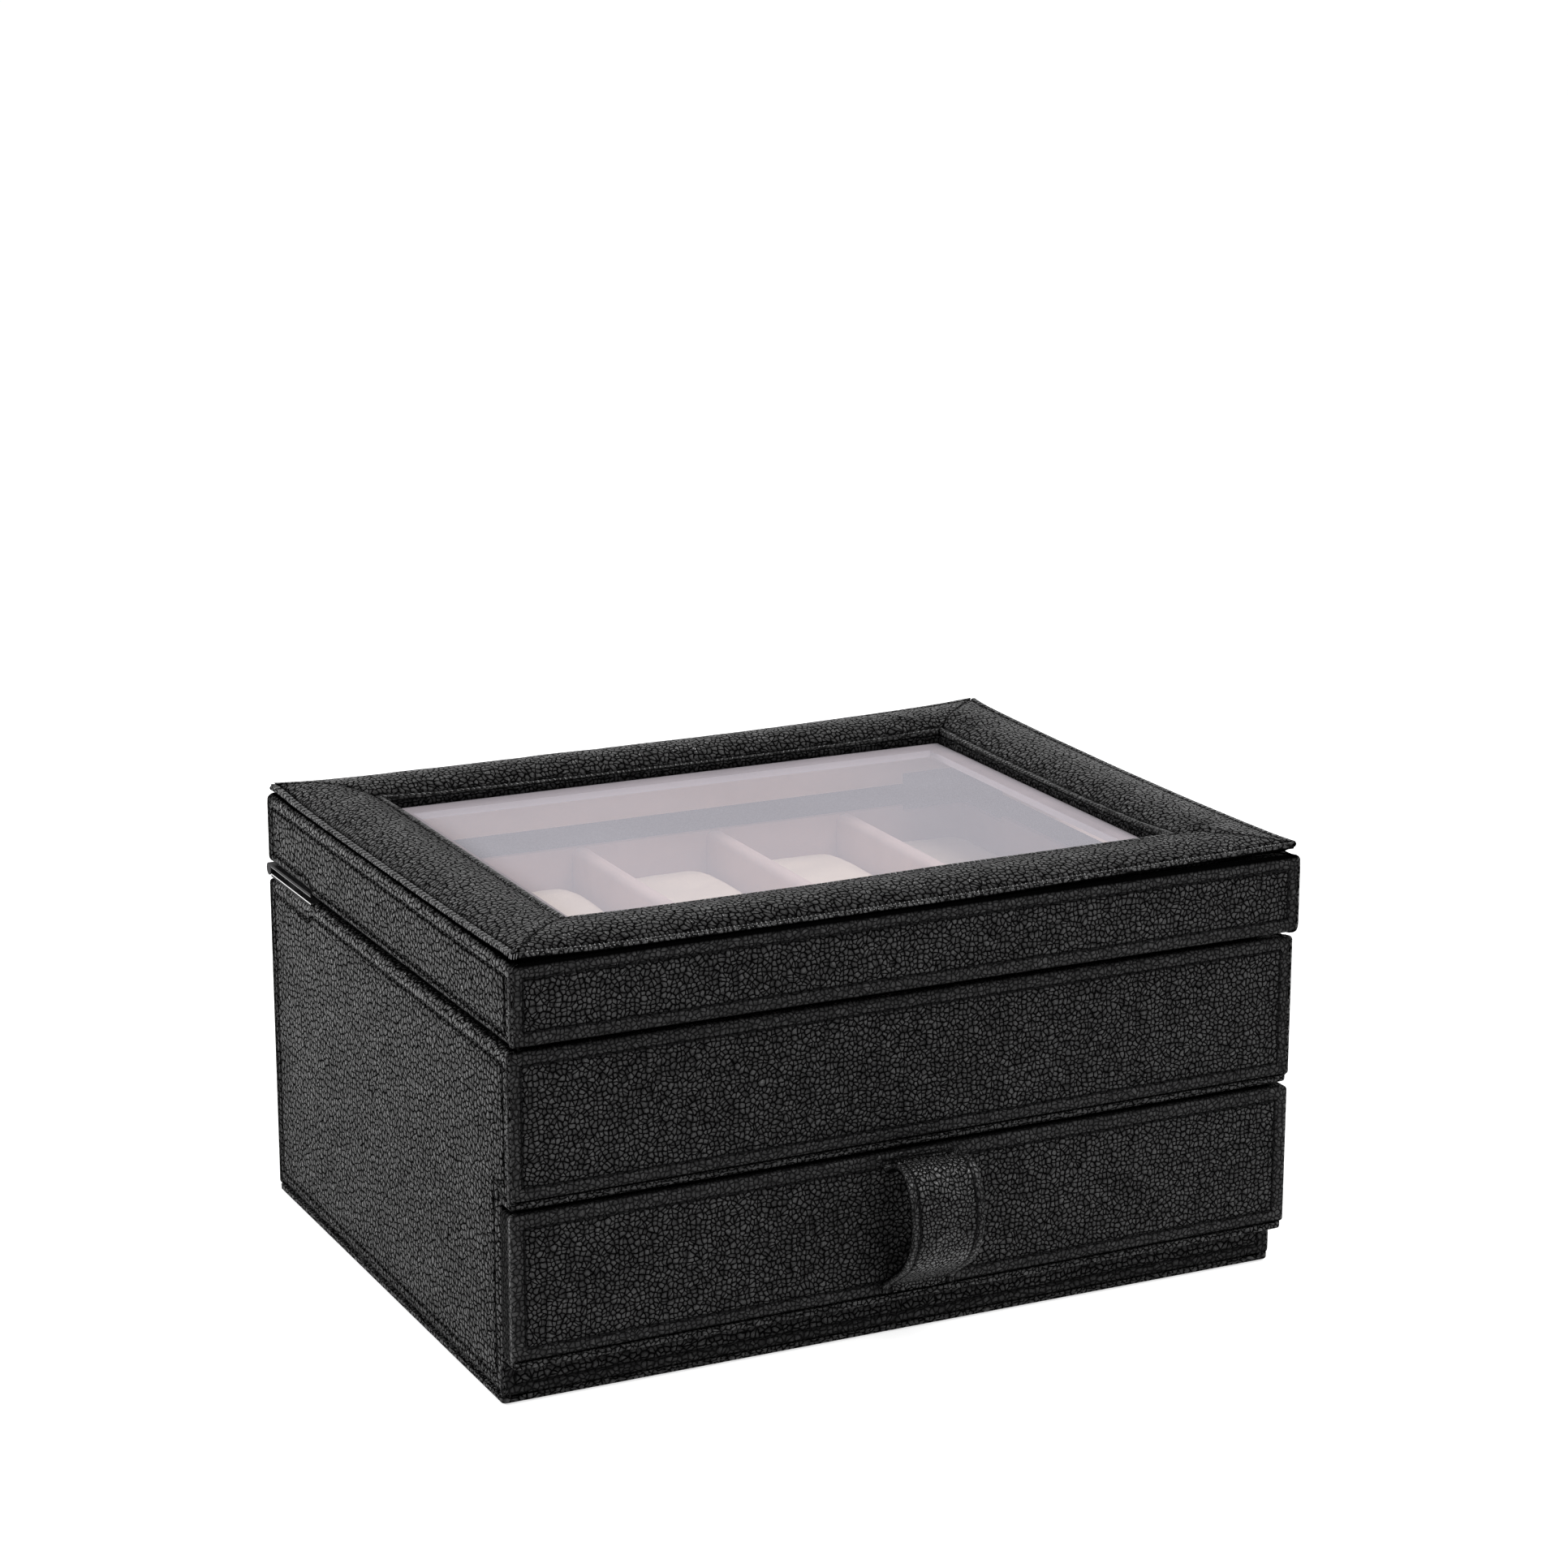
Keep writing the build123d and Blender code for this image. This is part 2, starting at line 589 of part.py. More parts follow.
for name, side in sides:
    with BuildPart() as case_leaf:
        hinge_leaf(side, case_leaf_low, (1,), pin_radius + pin_running, 1)
    write(case_leaf, f"case_hinge_leaf_{name}")
    with BuildPart() as lid_leaf:
        hinge_leaf(side, lid_leaf_low, (0, 2), pin_radius, -1)
    write(lid_leaf, f"lid_hinge_leaf_{name}")
    with BuildPart() as hinge_pin:
        with BuildSketch(Plane.YZ.offset(side * (half_w - leaf_inset))):
            with Locations((pin_y, pin_z)):
                Circle(pin_radius)
        extrude(amount=-side * leaf_width)
    write(hinge_pin, f"hinge_pin_{name}")


def screws(face_z, into):
    """Four countersunk screws, driven down into the case rim or up into the lid."""
    head = screw_head_radius - screw_radius
    for _, side in sides:
        for place in screw_places:
            x, y = screw_axis(side, place)
            with BuildSketch(Plane((x, y, face_z), x_dir=(1, 0, 0), z_dir=(0, -1, 0))) as half_section:
                with BuildLine():
                    Polyline((0, 0), (screw_head_radius, 0), (screw_radius, into * head),
                             (screw_radius, into * (screw_length - head)), (0, into * screw_length),
                             close=True)
                make_face()
            revolve(half_section.sketch, axis=Axis((x, y, face_z), (0, 0, 1)))


with BuildPart() as case_screws:
    screws(case_leaf_low + leaf_thickness, -1)
write(case_screws, "case_hinge_screws")
with BuildPart() as lid_screws:
    screws(lid_leaf_low, 1)
write(lid_screws, "lid_hinge_screws")
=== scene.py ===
"""Watch box with drawer: leather, stitching, padding, glass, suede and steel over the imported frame."""

import itertools
import math
import random
from dataclasses import dataclass

import bmesh
import bpy
import numpy as np
from mathutils import Matrix, Vector, noise


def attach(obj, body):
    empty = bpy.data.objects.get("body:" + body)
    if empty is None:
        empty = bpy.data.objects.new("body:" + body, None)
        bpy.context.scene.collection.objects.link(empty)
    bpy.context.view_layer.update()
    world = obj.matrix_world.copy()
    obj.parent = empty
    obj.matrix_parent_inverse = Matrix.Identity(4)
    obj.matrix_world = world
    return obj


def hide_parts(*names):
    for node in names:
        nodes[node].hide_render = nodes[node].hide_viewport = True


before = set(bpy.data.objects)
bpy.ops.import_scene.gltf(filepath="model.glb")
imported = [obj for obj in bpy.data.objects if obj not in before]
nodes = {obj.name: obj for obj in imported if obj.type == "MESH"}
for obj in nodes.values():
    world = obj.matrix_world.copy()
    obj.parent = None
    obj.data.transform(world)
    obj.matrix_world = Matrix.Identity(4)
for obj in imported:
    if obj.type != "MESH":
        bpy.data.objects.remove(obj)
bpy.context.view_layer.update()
scene = bpy.context.scene
scene.view_settings.view_transform = "Standard"

# Sizes in mm, in the part's own frame
half_w, half_d, wall = 127.25, 100.0, 8.0
inner_w, inner_d = half_w - wall, half_d - wall
base_top, floor_top, rim = 2.5, 62.8, 107.0
plinth_top = 13.2
lid_front, lid_low, lid_high = -102.9, 108.9, 133.0
drawer_w, drawer_low, drawer_high, drawer_front_thick = 127.0, 15.5, 59.5, 7.7
leaf_front, leaf_back = 60.9, 98.3  # the ends of the hinge leaves
back_full, side_full = 120.4, 120.8  # how far out the back and side walls are whole, inside the leaves
case_seat, case_relief = 105.9, 105.4  # the case's rim under the leaf and under the knuckle
lid_seat, lid_relief = 110.05, 110.6  # and the lid's over them
margin = 4.3  # from a panel's edge to its stitches


# Materials
class Shade:
    """The nodes of a material or world: its main shader, and short names for the nodes that repeat."""

    def __init__(self, owner, **values):
        owner.use_nodes = True
        self.owner, self.tree = owner, owner.node_tree
        self.main = next(n for n in self.tree.nodes if n.type in ("BSDF_PRINCIPLED", "BACKGROUND"))
        self.feed(**values)

    def join(self, socket, value):
        if isinstance(value, bpy.types.NodeSocket):
            self.tree.links.new(value, socket)
        else:
            socket.default_value = value

    def feed(self, **values):
        """Gives the main shader these sockets or plain values."""
        for name, value in values.items():
            self.join(self.main.inputs[name.replace("_", " ")], value)

    def show(self, surface):
        self.join(next(n for n in self.tree.nodes if n.type.startswith("OUTPUT")).inputs["Surface"], surface)

    def node(self, kind, inputs=(), **settings):
        """The outputs of a new node with these sockets or plain values as its inputs."""
        made = self.tree.nodes.new("ShaderNode" + kind)
        for key, value in settings.items():
            setattr(made, key, value)
        for key, value in dict(inputs).items():
            self.join(made.inputs[key], value)
        return made.outputs

    def maths(self, operation, *values):
        return self.node("Math", enumerate(values), operation=operation)[0]

    def times(self, product, *others):
        for other in others:
            product = self.maths("MULTIPLY", product, other)
        return product

    def total(self, *parts):
        """The sum of values, each with its weight."""
        sum_up = self.times(*parts[0])
        for value, weight in parts[1:]:
            sum_up = self.maths("MULTIPLY_ADD", value, weight, sum_up)
        return sum_up

    def span(self, *values, kind="SMOOTHSTEP"):
        """A value mapped from one range (low, high) to another, or to 0 and 1."""
        return self.node("MapRange", enumerate(values), interpolation_type=kind)[0]

    def noise(self, place, scale, detail, output=0, **more):
        return self.node("TexNoise", {"Vector": place, "Scale": scale, "Detail": detail, **more})[output]

    def blend(self, factor, dark, light):
        return self.node("Mix", {0: factor, 6: dark, 7: light}, data_type="RGBA")[2]

    def either(self, *shaders):
        """A factor's mix of two shaders."""
        return self.node("MixShader", enumerate(shaders))[0]

    def bump(self, height, strength, depth):
        """Relief of this depth in mm."""
        relief = {"Height": height, "Strength": strength, "Distance": depth / 1000}
        self.feed(Normal=self.node("Bump", relief)[0])

    def seen(self):
        """1 for what the camera sees directly, in gloss or through the glass."""
        path = self.node("LightPath")
        indirect = self.maths("MAXIMUM", path["Is Glossy Ray"], path["Is Transmission Ray"])
        return self.maths("MAXIMUM", path["Is Camera Ray"], indirect)


def new_shade(name, **values):
    """A new material and the place of its texture."""
    shade = Shade(bpy.data.materials.new(name), **values)
    return shade, shade.node("TexCoord")["Object"]


def tint(colour, share=1.0):
    """A colour made darker or lighter by a share, with alpha 1."""
    return (*[min(1, c * share) for c in colour], 1)


def leather(name, colour, grain, depth, rough, shine, flat=0.75):
    """Pebbled leather: grain in cells a metre, depth of the creases in mm, flat for pressed margins.

    The groove mark above 0 darkens the colour as painted shade, up to 1 in a seam; 0 is plain leather, and
    below 0 it lightens the colour as a painted highlight.
    """
    m = Shade(bpy.data.materials.new(name))
    coords = m.node("TexCoord")
    x, y, z = m.node("SeparateXYZ", {0: coords["Object"]})
    facing = m.node("SeparateXYZ", {0: coords["Normal"]})
    sideways, upward = [m.maths("GREATER_THAN", m.maths("ABSOLUTE", facing[k]), 0.7) for k in (0, 2)]
    first = m.node("Mix", {0: sideways, 2: x, 3: y})[0]
    second = m.node("Mix", {0: upward, 2: z, 3: y})[0]
    place = m.node("CombineXYZ", {0: first, 1: second})[0]
    drift = m.noise(place, grain * 0.4, 2.0, "Color")
    drift = m.node("VectorMath", {0: drift, 1: (0.5, 0.5, 0.5)}, operation="SUBTRACT")[0]
    drift = m.node("VectorMath", {0: drift, 3: 1.5 / grain}, operation="SCALE")[0]
    warped = m.node("VectorMath", {0: place, 1: drift}, operation="ADD")[0]

    def cells(scale, randomness, feature="DISTANCE_TO_EDGE"):
        return m.node("TexVoronoi", {"Vector": warped, "Scale": scale, "Randomness": randomness},
                      feature=feature, voronoi_dimensions="2D")

    edges, centres, small = cells(grain, 0.86)[0], cells(grain, 0.86, "F1"), cells(grain * 2.3, 1.0)[0]
    chosen = m.node("SeparateXYZ", {0: centres["Color"]})[0]
    fine, broad = m.noise(place, grain * 5, 3.0), m.noise(place, grain * 0.06, 3.0)
    pressed, groove = [m.node("Attribute", attribute_name=mark)["Fac"] for mark in ("press", "groove")]

    crease, dome = m.span(edges, 0.03, 0.2), m.span(centres["Distance"], 0.7, 0.0)
    height = m.total((crease, 0.6), (dome, 0.85), (m.span(small, 0.0, 0.2), 0.26), (fine, 0.3))
    swell = m.times(m.span(broad, 0.3, 0.7, 0.85, 1.1), m.span(pressed, 0.0, 1.0, 1.0, flat))
    m.bump(m.times(height, swell), 1.0, depth)

    # crease paints shade into the crevices between pebbles, and dome paints a highlight on their tops; each
    # cell's own tone and the broad blotches are the leather's real tone
    tone_and_painted_light = m.times(crease, m.span(dome, 0.1, 0.7, 0.55, 1.0),
                  m.span(chosen, 0.0, 1.0, 0.6, 1.15, kind="LINEAR"), m.span(small, 0.0, 0.1, 0.82, 1.0))
    tone_and_painted_light = m.node("Mix", {0: m.times(pressed, 0.4), 2: tone_and_painted_light, 3: 0.4})[0]
    # the groove mark paints shade where it is above 0 and a highlight where it is below 0
    tone_and_painted_light = m.times(tone_and_painted_light, m.span(broad, 0.35, 0.65, 0.88, 1.0),
                  m.span(groove, -1.0, 1.0, 2.0, 0.0, kind="LINEAR"))
    m.feed(Base_Color=m.blend(tone_and_painted_light, tint(colour, 0.05), tint(colour, 1.35)),
           Specular_IOR_Level=m.times(m.maths("POWER", tone_and_painted_light, 1.6), shine),
           Roughness=m.total((m.span(tone_and_painted_light, 0.0, 1.0, rough + 0.05, rough - 0.1), 1.0), (fine, 0.2)))
    return m.owner


def suede(name, colour, nap, rough=0.95):
    """Short-napped suede: soft blotches where the nap is brushed, and a fuzz of fine fibres."""
    m, place = new_shade(name, Specular_IOR_Level=0.12, Sheen_Weight=0.35, Sheen_Roughness=0.45,
                         Sheen_Tint=tint(colour, 1.25))
    brushed = m.noise(place, 45.0, 4.0, Distortion=0.6)
    fibre, clump = m.noise(place, 2600.0, 3.0), m.noise(place, 700.0, 2.0)
    tone = m.span(m.total((brushed, 0.6), (fibre, 0.5)), 0.35, 0.75)
    m.feed(Base_Color=m.blend(tone, tint(colour, 0.86), tint(colour, 1.08)),
           Roughness=m.span(fibre, 0.3, 0.7, rough - 0.1, rough))
    m.bump(m.total((fibre, 1.0), (brushed, 0.4), (clump, 0.7)), 0.8, nap)
    return m.owner


def thread_material(name, colour, shine):
    m, place = new_shade(name, Specular_IOR_Level=shine)
    ply = m.noise(place, 3200.0, 2.0)
    m.feed(Base_Color=m.blend(ply, tint(colour, 0.6), tint(colour, 1.4)),
           Roughness=m.span(ply, 0.3, 0.7, 0.55, 0.35))
    m.bump(ply, 0.6, 0.06)
    return m.owner


def steel_material(name, dark, light, metal=1.0, bare=None):
    """Plate with fine lengthwise brushing and handling marks.

    bare is a band of bare metal in front of the knuckle: from and to what height, and its tone.
    """
    m, place = new_shade(name, Metallic=metal, Specular_IOR_Level=0.015)
    lines = m.node("Mapping", {"Vector": place, "Scale": (4000.0, 60.0, 4000.0)})[0]
    brushed, marks = m.noise(lines, 1.0, 3.0), m.noise(place, 260.0, 4.0)
    colour = m.blend(marks, tint(dark), tint(light))
    if bare:
        low, high, tone = bare[0] / 1000, bare[1] / 1000, bare[2]
        _, y, z = m.node("SeparateXYZ", {0: place})
        bare_band = m.times(m.span(z, low, low + 1e-5), m.span(z, high, high + 1e-5, 1.0, 0.0),
                       m.maths("LESS_THAN", y, 0.0985))
        colour = m.blend(bare_band, colour, (tone, tone, tone, 1))
        m.feed(Metallic=bare_band)
    m.feed(Base_Color=colour,
           Roughness=m.span(m.total((brushed, 0.4), (marks, 0.6)), 0.3, 0.7, 0.18, 0.36))
    m.bump(brushed, 0.25, 0.02)
    return m.owner


def felt_material(name, colour):
    m, place = new_shade(name, Specular_IOR_Level=0.1, Sheen_Weight=0.2)
    fibre, blotch = m.noise(place, 900.0, 6.0, Distortion=2.5), m.noise(place, 60.0, 3.0)
    tone = m.total((fibre, 0.7), (blotch, 0.4))
    m.feed(Base_Color=m.blend(tone, tint(colour, 0.5), tint(colour, 1.5)),
           Roughness=m.span(fibre, 0.3, 0.7, 0.85, 1.0))
    m.bump(fibre, 0.9, 0.3)
    return m.owner


def glass_material(name):
    """Clear pane with a pale diffuse film, a painted reflection in place of the pane's own. It bends what is
    seen through it and lets the lamps through.
    """
    # the main shader is the film's pale lilac diffuse: a painted reflection, as the pane's specular is 0
    m, place = new_shade(name, Base_Color=(0.95, 0.915, 1.0, 1), Roughness=0.5, Specular_IOR_Level=0.0)
    reflection_film = m.span(m.noise(place, 14.0, 3.0), 0.25, 0.75, 0.225, 0.245)
    through = m.node("BsdfRefraction", {"Color": (0.985, 0.99, 1, 1), "Roughness": 0.0, "IOR": 1.5})[0]
    clear = m.node("BsdfTransparent", {"Color": (0.97, 0.98, 0.98, 1)})[0]
    path = m.node("LightPath")
    passing = m.maths("MAXIMUM", path["Is Shadow Ray"], path["Is Diffuse Ray"])
    m.show(m.either(passing, m.either(reflection_film, through, m.main.outputs[0]), clear))
    return m.owner


black = (0.026, 0.0257, 0.0262)
hide = leather("pebbled_leather", black, 670.0, 0.48, 0.33, 0.39, flat=0.6)
side_hide = leather("pebbled_leather_side", black, 520.0, 1.15, 0.26, 0.25)
pad_hide = leather("pebbled_leather_pad", black, 570.0, 0.8, 0.27, 0.42, flat=0.6)
coarse_hide = leather("pebbled_leather_coarse", black, 560.0, 0.5, 0.38, 0.3)
strap_hide = leather("strap_leather", black, 800.0, 0.36, 0.27, 0.55)
turned_hide = leather("turned_in_leather", (0.012, 0.012, 0.0125), 640.0, 0.2, 0.5, 0.1)
dark_thread = thread_material("dark_thread", (0.0035, 0.0035, 0.0037), 0.05)
lip_thread = thread_material("lip_thread", (0.03, 0.03, 0.031), 0.2)
# The edge and waxed threads are lighter copies of the black thread: painted highlight on the overcast
# stitches.
edge_thread_lit = thread_material("edge_thread_lit", (0.15, 0.15, 0.152), 0.6)
waxed_lit = thread_material("waxed_thread_lit", (0.24, 0.24, 0.243), 0.6)
# The wall suede is a darker copy of the lining suede, painted shade on the chamber walls; the lid suede is a
# lighter copy, painted light on the lid's lining.
lining = suede("lining_suede", (0.64, 0.455, 0.40), 0.10)
wall_suede_shaded = suede("wall_suede_shaded", (0.37, 0.235, 0.195), 0.10)
lid_suede = suede("lid_suede", (0.74, 0.55, 0.475), 0.10)
ledge = suede("ledge_suede", (0.33, 0.27, 0.28), 0.10)
pillow = suede("cushion_suede", (0.87, 0.70, 0.565), 0.12)
glass = glass_material("window_glass")
steel = steel_material("hinge_steel", (0.50, 0.49, 0.48), (0.68, 0.67, 0.66))
# Near-black plate colours: painted shade on the hinge leaves and pins
shade_black = (0.012, 0.012, 0.0125), (0.02, 0.02, 0.021), 0.0
shade_black_steel = steel_material("hinge_steel_painted_dark", *shade_black)
case_leaf = steel_material("hinge_leaf_case", *shade_black, bare=(106.6, 106.93, 0.55))
lid_leaf = steel_material("hinge_leaf_lid", *shade_black, bare=(108.9, 109.15, 0.1))
felt = felt_material("base_felt", (0.014, 0.014, 0.015))


# Meshes
def piece(name, points, faces, material, body, replaced=(), slot="leather", flat=42, marks=None):
    """One closed piece from points in mm, riding on a body.

    flat is the angle in degrees above which an edge is sharp. marks are values kept on its points.
    """
    mesh = bpy.data.meshes.new(name)
    mesh.from_pydata([tuple(p) for p in np.asarray(points) / 1000], [], faces)
    work = bmesh.new()
    work.from_mesh(mesh)
    bmesh.ops.recalc_face_normals(work, faces=work.faces)
    work.to_mesh(mesh)
    work.free()
    mesh.shade_smooth()
    mesh.set_sharp_from_angle(angle=math.radians(flat))
    for key, values in (marks or {}).items():
        mesh.attributes.new(key, "FLOAT", "POINT").data.foreach_set("value", np.asarray(values, "f"))
    mesh.materials.append(material)
    made = bpy.data.objects.new(name, mesh)
    scene.collection.objects.link(made)
    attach(made, body)
    if replaced:
        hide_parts(*replaced)
    return made


def uneven(x, y, z, size, seed):
    """Smooth noise from -1 to 1 at points in mm, with hollows of about that size."""
    return np.array([noise.noise(Vector((a / size + seed, b / size - seed, c / size)))
                     for a, b, c in zip(np.ravel(x), np.ravel(y), np.ravel(z))]).reshape(np.shape(x))


def bell(distance, width):
    return np.exp(-(distance / width) ** 2)


def closed(path):
    return path + path[:1]


def loft(rings, size, ring=False):
    """Faces between rings of points that follow each other: a rod with two ends, or a ring."""
    faces = []
    for i in range(rings if ring else rings - 1):
        ahead = ((i + 1) % rings - i) * size
        for j in range(size):
            a, b = i * size + j, i * size + (j + 1) % size
            faces.append((a, b, b + ahead, a + ahead))
    if not ring:
        faces += [tuple(range(size)), tuple(range((rings - 1) * size, rings * size))]
    return faces


def away(u, v, path):
    """Distance from points to a path of straight runs."""
    best = np.full(np.shape(u), 1e9)
    for (u0, v0), (u1, v1) in zip(path[:-1], path[1:]):
        du, dv = u1 - u0, v1 - v0
        square = du * du + dv * dv
        if square:
            share = np.clip(((u - u0) * du + (v - v0) * dv) / square, 0, 1)
            best = np.minimum(best, np.hypot(u - u0 - share * du, v - v0 - share * dv))
    return best


def nearest(u, v, paths):
    """Distance from points to the nearest of several paths."""
    return np.min([away(u, v, path) for path in paths], axis=0)


def grid_lines(keys, step, creases):
    """Grid places: the keys themselves, closer lines beside them and the creases, and a steady step."""
    low, high = min(keys), max(keys)
    wanted = []
    for key in keys:
        wanted += [key + sign * d for sign in (-1, 1) for d in (0.12, 0.28, 0.5, 0.8, 1.25)]
    for crease in creases:
        wanted += [crease + d for d in (-1.25, -0.8, -0.5, -0.25, 0, 0.25, 0.5, 0.8, 1.25)]
    wanted += list(np.linspace(low, high, max(2, round((high - low) / step)) + 1))
    kept = sorted(set(keys))
    for mark in sorted(wanted):
        if low < mark < high and min(abs(mark - k) for k in kept) > 0.1:
            kept.append(mark)
    return np.array(sorted(kept))


@dataclass
class Face:
    """The outer face of a covered panel, in mm: u and v run along it and w stands out of it."""

    outline: list
    lines: list  # the paths of its stitches
    seed: float
    edge: float = 0.6  # radius of the rounded outline
    roll: float = 1.5  # radius of the roll along its level edges
    turn: float = 1.5  # radius of the roll that draws its ends in along those edges
    puff: float = 0.25  # how much lower the margin lies
    reach: float = 13.0  # over what distance it rises to the middle
    groove: float = 0.25  # depth of the sewn lines
    seam: float = 0.34  # half width of the painted shade along them
    line: float = 0.6  # strength of that painted shade
    pressed: float = 1.0  # how smooth the margin is
    polish: float = 0.0  # how strong the painted highlight on the roll above the upper line is
    dark_top: float = 0.0  # height of the shadow along its top
    dark_low: float = 0.0  # and along its bottom

    def __post_init__(self):
        self.outline = closed(self.outline)
        runs = list(zip(self.outline, self.outline[1:]))
        self.level = [run for run in runs if run[0][1] == run[1][1]]
        self.upright = [run for run in runs if run[0][0] == run[1][0]]
        self.low, self.top = min(v for u, v in self.outline), max(v for u, v in self.outline)

    def rolled(self, u, v, radius):
        """How far a roll of that radius along the level edges draws the leather in."""
        far = np.clip(nearest(u, v, self.level), 0, radius)
        return radius - np.sqrt(np.maximum(radius ** 2 - (radius - far) ** 2, 0))

    def height(self, u, v):
        rim_away, seam = away(u, v, self.outline), nearest(u, v, self.lines)
        inside = np.clip((rim_away - 3.2) / self.reach, 0, 1)
        rise = inside * inside * (3 - 2 * inside)
        near = self.edge - np.clip(rim_away, 0, self.edge)
        w = -self.puff * (1 - rise) - np.maximum(
            self.edge - np.sqrt(np.maximum(self.edge ** 2 - near ** 2, 0)), self.rolled(u, v, self.roll))
        w = w - self.groove * bell(seam, 0.38) + 0.1 * bell(seam - 1.5, 0.8)
        ripple = uneven(u, v, np.zeros_like(u), 26.0, self.seed) * 0.16
        ripple += uneven(u, v, np.zeros_like(u), 7.0, self.seed + 9) * 0.05
        return w + ripple * np.clip(rim_away / 4, 0, 1) - 0.15

    def marks(self, u, v):
        """The press and groove marks at points; the groove mark holds painted shade and painted highlights.
        """
        rim_away, seam = away(u, v, self.outline), nearest(u, v, self.lines)
        press = self.pressed * (1 - np.clip((rim_away - 3.4) / 1.6, 0, 1))
        # painted shade in the sewn lines' grooves and round the outline's rims
        groove = self.line * np.clip(1.8 * bell(seam, self.seam), 0, 1) + 0.7 * bell(rim_away, 0.35)
        groove = groove - 1.6 * bell(nearest(u, v, self.upright), 0.5)  # painted highlight along the upright corners
        # painted highlight on the roll above the upper line
        if self.polish:
            above = v - max(b for path in self.lines for a, b in path)
            groove = groove - self.polish * np.clip(above / 0.6, 0, 1) * np.clip((self.top - v) / 0.8, 0, 1)
        if self.dark_top:
            groove = groove + (1 - np.clip((self.top - v - self.dark_top) / 0.4, 0, 1))
        if self.dark_low:
            groove = groove + (1 - np.clip((v - self.low - self.dark_low) / 0.3, 0, 1))
        return press, np.clip(groove, -1, 1)


def face_grid(face, step):
    """A fine grid over a face: its points u and v, its faces, and the loop of points on its outline."""
    creases = [p for path in face.lines for p in path]
    us, vs = [grid_lines([p[k] for p in face.outline[:-1]], step, [p[k] for p in creases]) for k in (0, 1)]
    mid_u, mid_v = np.meshgrid((us[:-1] + us[1:]) / 2, (vs[:-1] + vs[1:]) / 2, indexing="ij")
    inside = np.zeros(mid_u.shape, bool)
    for (u, v0), (_, v1) in face.upright:
        inside ^= (mid_u < u) & (mid_v > min(v0, v1)) & (mid_v < max(v0, v1))
    number, points, faces, edges = {}, [], [], {}

    def vertex(i, j):
        if (i, j) not in number:
            number[i, j] = len(points)
            points.append((us[i], vs[j]))
        return number[i, j]

    for i, j in zip(*np.nonzero(inside)):
        ring = (vertex(i, j), vertex(i + 1, j), vertex(i + 1, j + 1), vertex(i, j + 1))
        faces.append(ring)
        for a, b in zip(ring, closed(ring)[1:]):
            if (b, a) in edges:
                del edges[b, a]
            else:
                edges[a, b] = True
    after = dict(edges.keys())
    loop = [next(iter(after))]
    while after[loop[-1]] != loop[0]:
        loop.append(after[loop[-1]])
    u, v = np.array(points).T
    return u, v, faces, loop


def slab(node, body, face, place, thick, material, mitres, step=1.5, extra=()):
    """A covered panel in place of a node: its finished outer face, its rims and its plain back.

    mitres are the places u of its mitred edges, and extra is boxes beside it, each by two corners.
    """
    u, v, faces, loop = face_grid(face, step)
    count, size = len(u), len(loop)
    at_end = np.clip(1 - (u - u.min()) / 5, 0, 1) - np.clip(1 - (u.max() - u) / 5, 0, 1)
    drawn = u + at_end * face.rolled(u, v, face.turn)

    def inset(depth, chamfer):
        """The outline's points moved in: by the depth behind mitred edges, by the chamfer behind others."""
        moved = []
        for k, here in enumerate(loop):
            shifts = []
            for a, b in ((loop[k - 1], here), (here, loop[(k + 1) % size])):
                du, dv = np.sign(u[b] - u[a]), np.sign(v[b] - v[a])
                amount = depth if du == 0 and round(u[a], 3) in mitres else chamfer
                shifts.append((-dv * amount, du * amount))
            shift = shifts[0] if np.allclose(*shifts) else np.add(*shifts)
            moved.append((drawn[here] + shift[0], v[here] + shift[1]))
        return np.array(moved)

    flat = [np.column_stack([drawn, v, face.height(u, v)])]
    first = max(face.edge, face.roll) + face.puff + 0.5
    for depth, chamfer in ((first, 0.0), (thick - 0.5, 0.0), (thick, 0.5)):
        moved = inset(depth, chamfer)
        if mitres and depth > first:
            moved = np.clip(moved, (u.min() + thick, face.low), (u.max() - thick, face.top))
        flat.append(np.column_stack([moved, np.full(size, -float(depth))]))
    rings = [loop] + [range(count + row * size, count + (row + 1) * size) for row in range(3)]
    for upper, lower in zip(rings, rings[1:]):
        faces += [(upper[k], upper[k - 1], lower[k - 1], lower[k]) for k in range(size)]
    faces.append(tuple(rings[-1]))
    points = place(*np.vstack(flat).T)
    for low, high in extra:
        faces += [tuple(len(points) + n for n in corners) for corners in
                  ((0, 1, 3, 2), (4, 6, 7, 5), (0, 4, 5, 1), (2, 3, 7, 6), (0, 2, 6, 4), (1, 5, 7, 3))]
        points = np.vstack([points, list(itertools.product(*zip(low, high)))])
    press, groove = face.marks(u, v)
    # the rims and back are smooth, and their groove mark of 0.75 paints shade on them
    rims_and_back = np.ones(len(points) - count)
    piece(f"{node}_leather", points, faces, material, body, (node,),
          marks={"press": np.append(press, rims_and_back), "groove": np.append(groove, 0.75 * rims_and_back)})


# Stitches
def stitch_template(length, radius, rise):
    """A short thread: round, thicker in the middle, its ends going down into the holes."""
    rings = ((-0.5, 0.45, -0.5), (-0.44, 0.8, -0.15), (-0.22, 1, 0.1), (0.22, 1, 0.1), (0.44, 0.8, -0.15),
             (0.5, 0.45, -0.5))
    points, sides = [], 6
    for along, wide, up in rings:
        for k in range(sides):
            angle = math.tau * k / sides
            points.append((along * length, wide * radius * math.cos(angle),
                           wide * radius * math.sin(angle) * 0.85 + up * radius + rise))
    return np.array(points), loft(len(rings), sides)


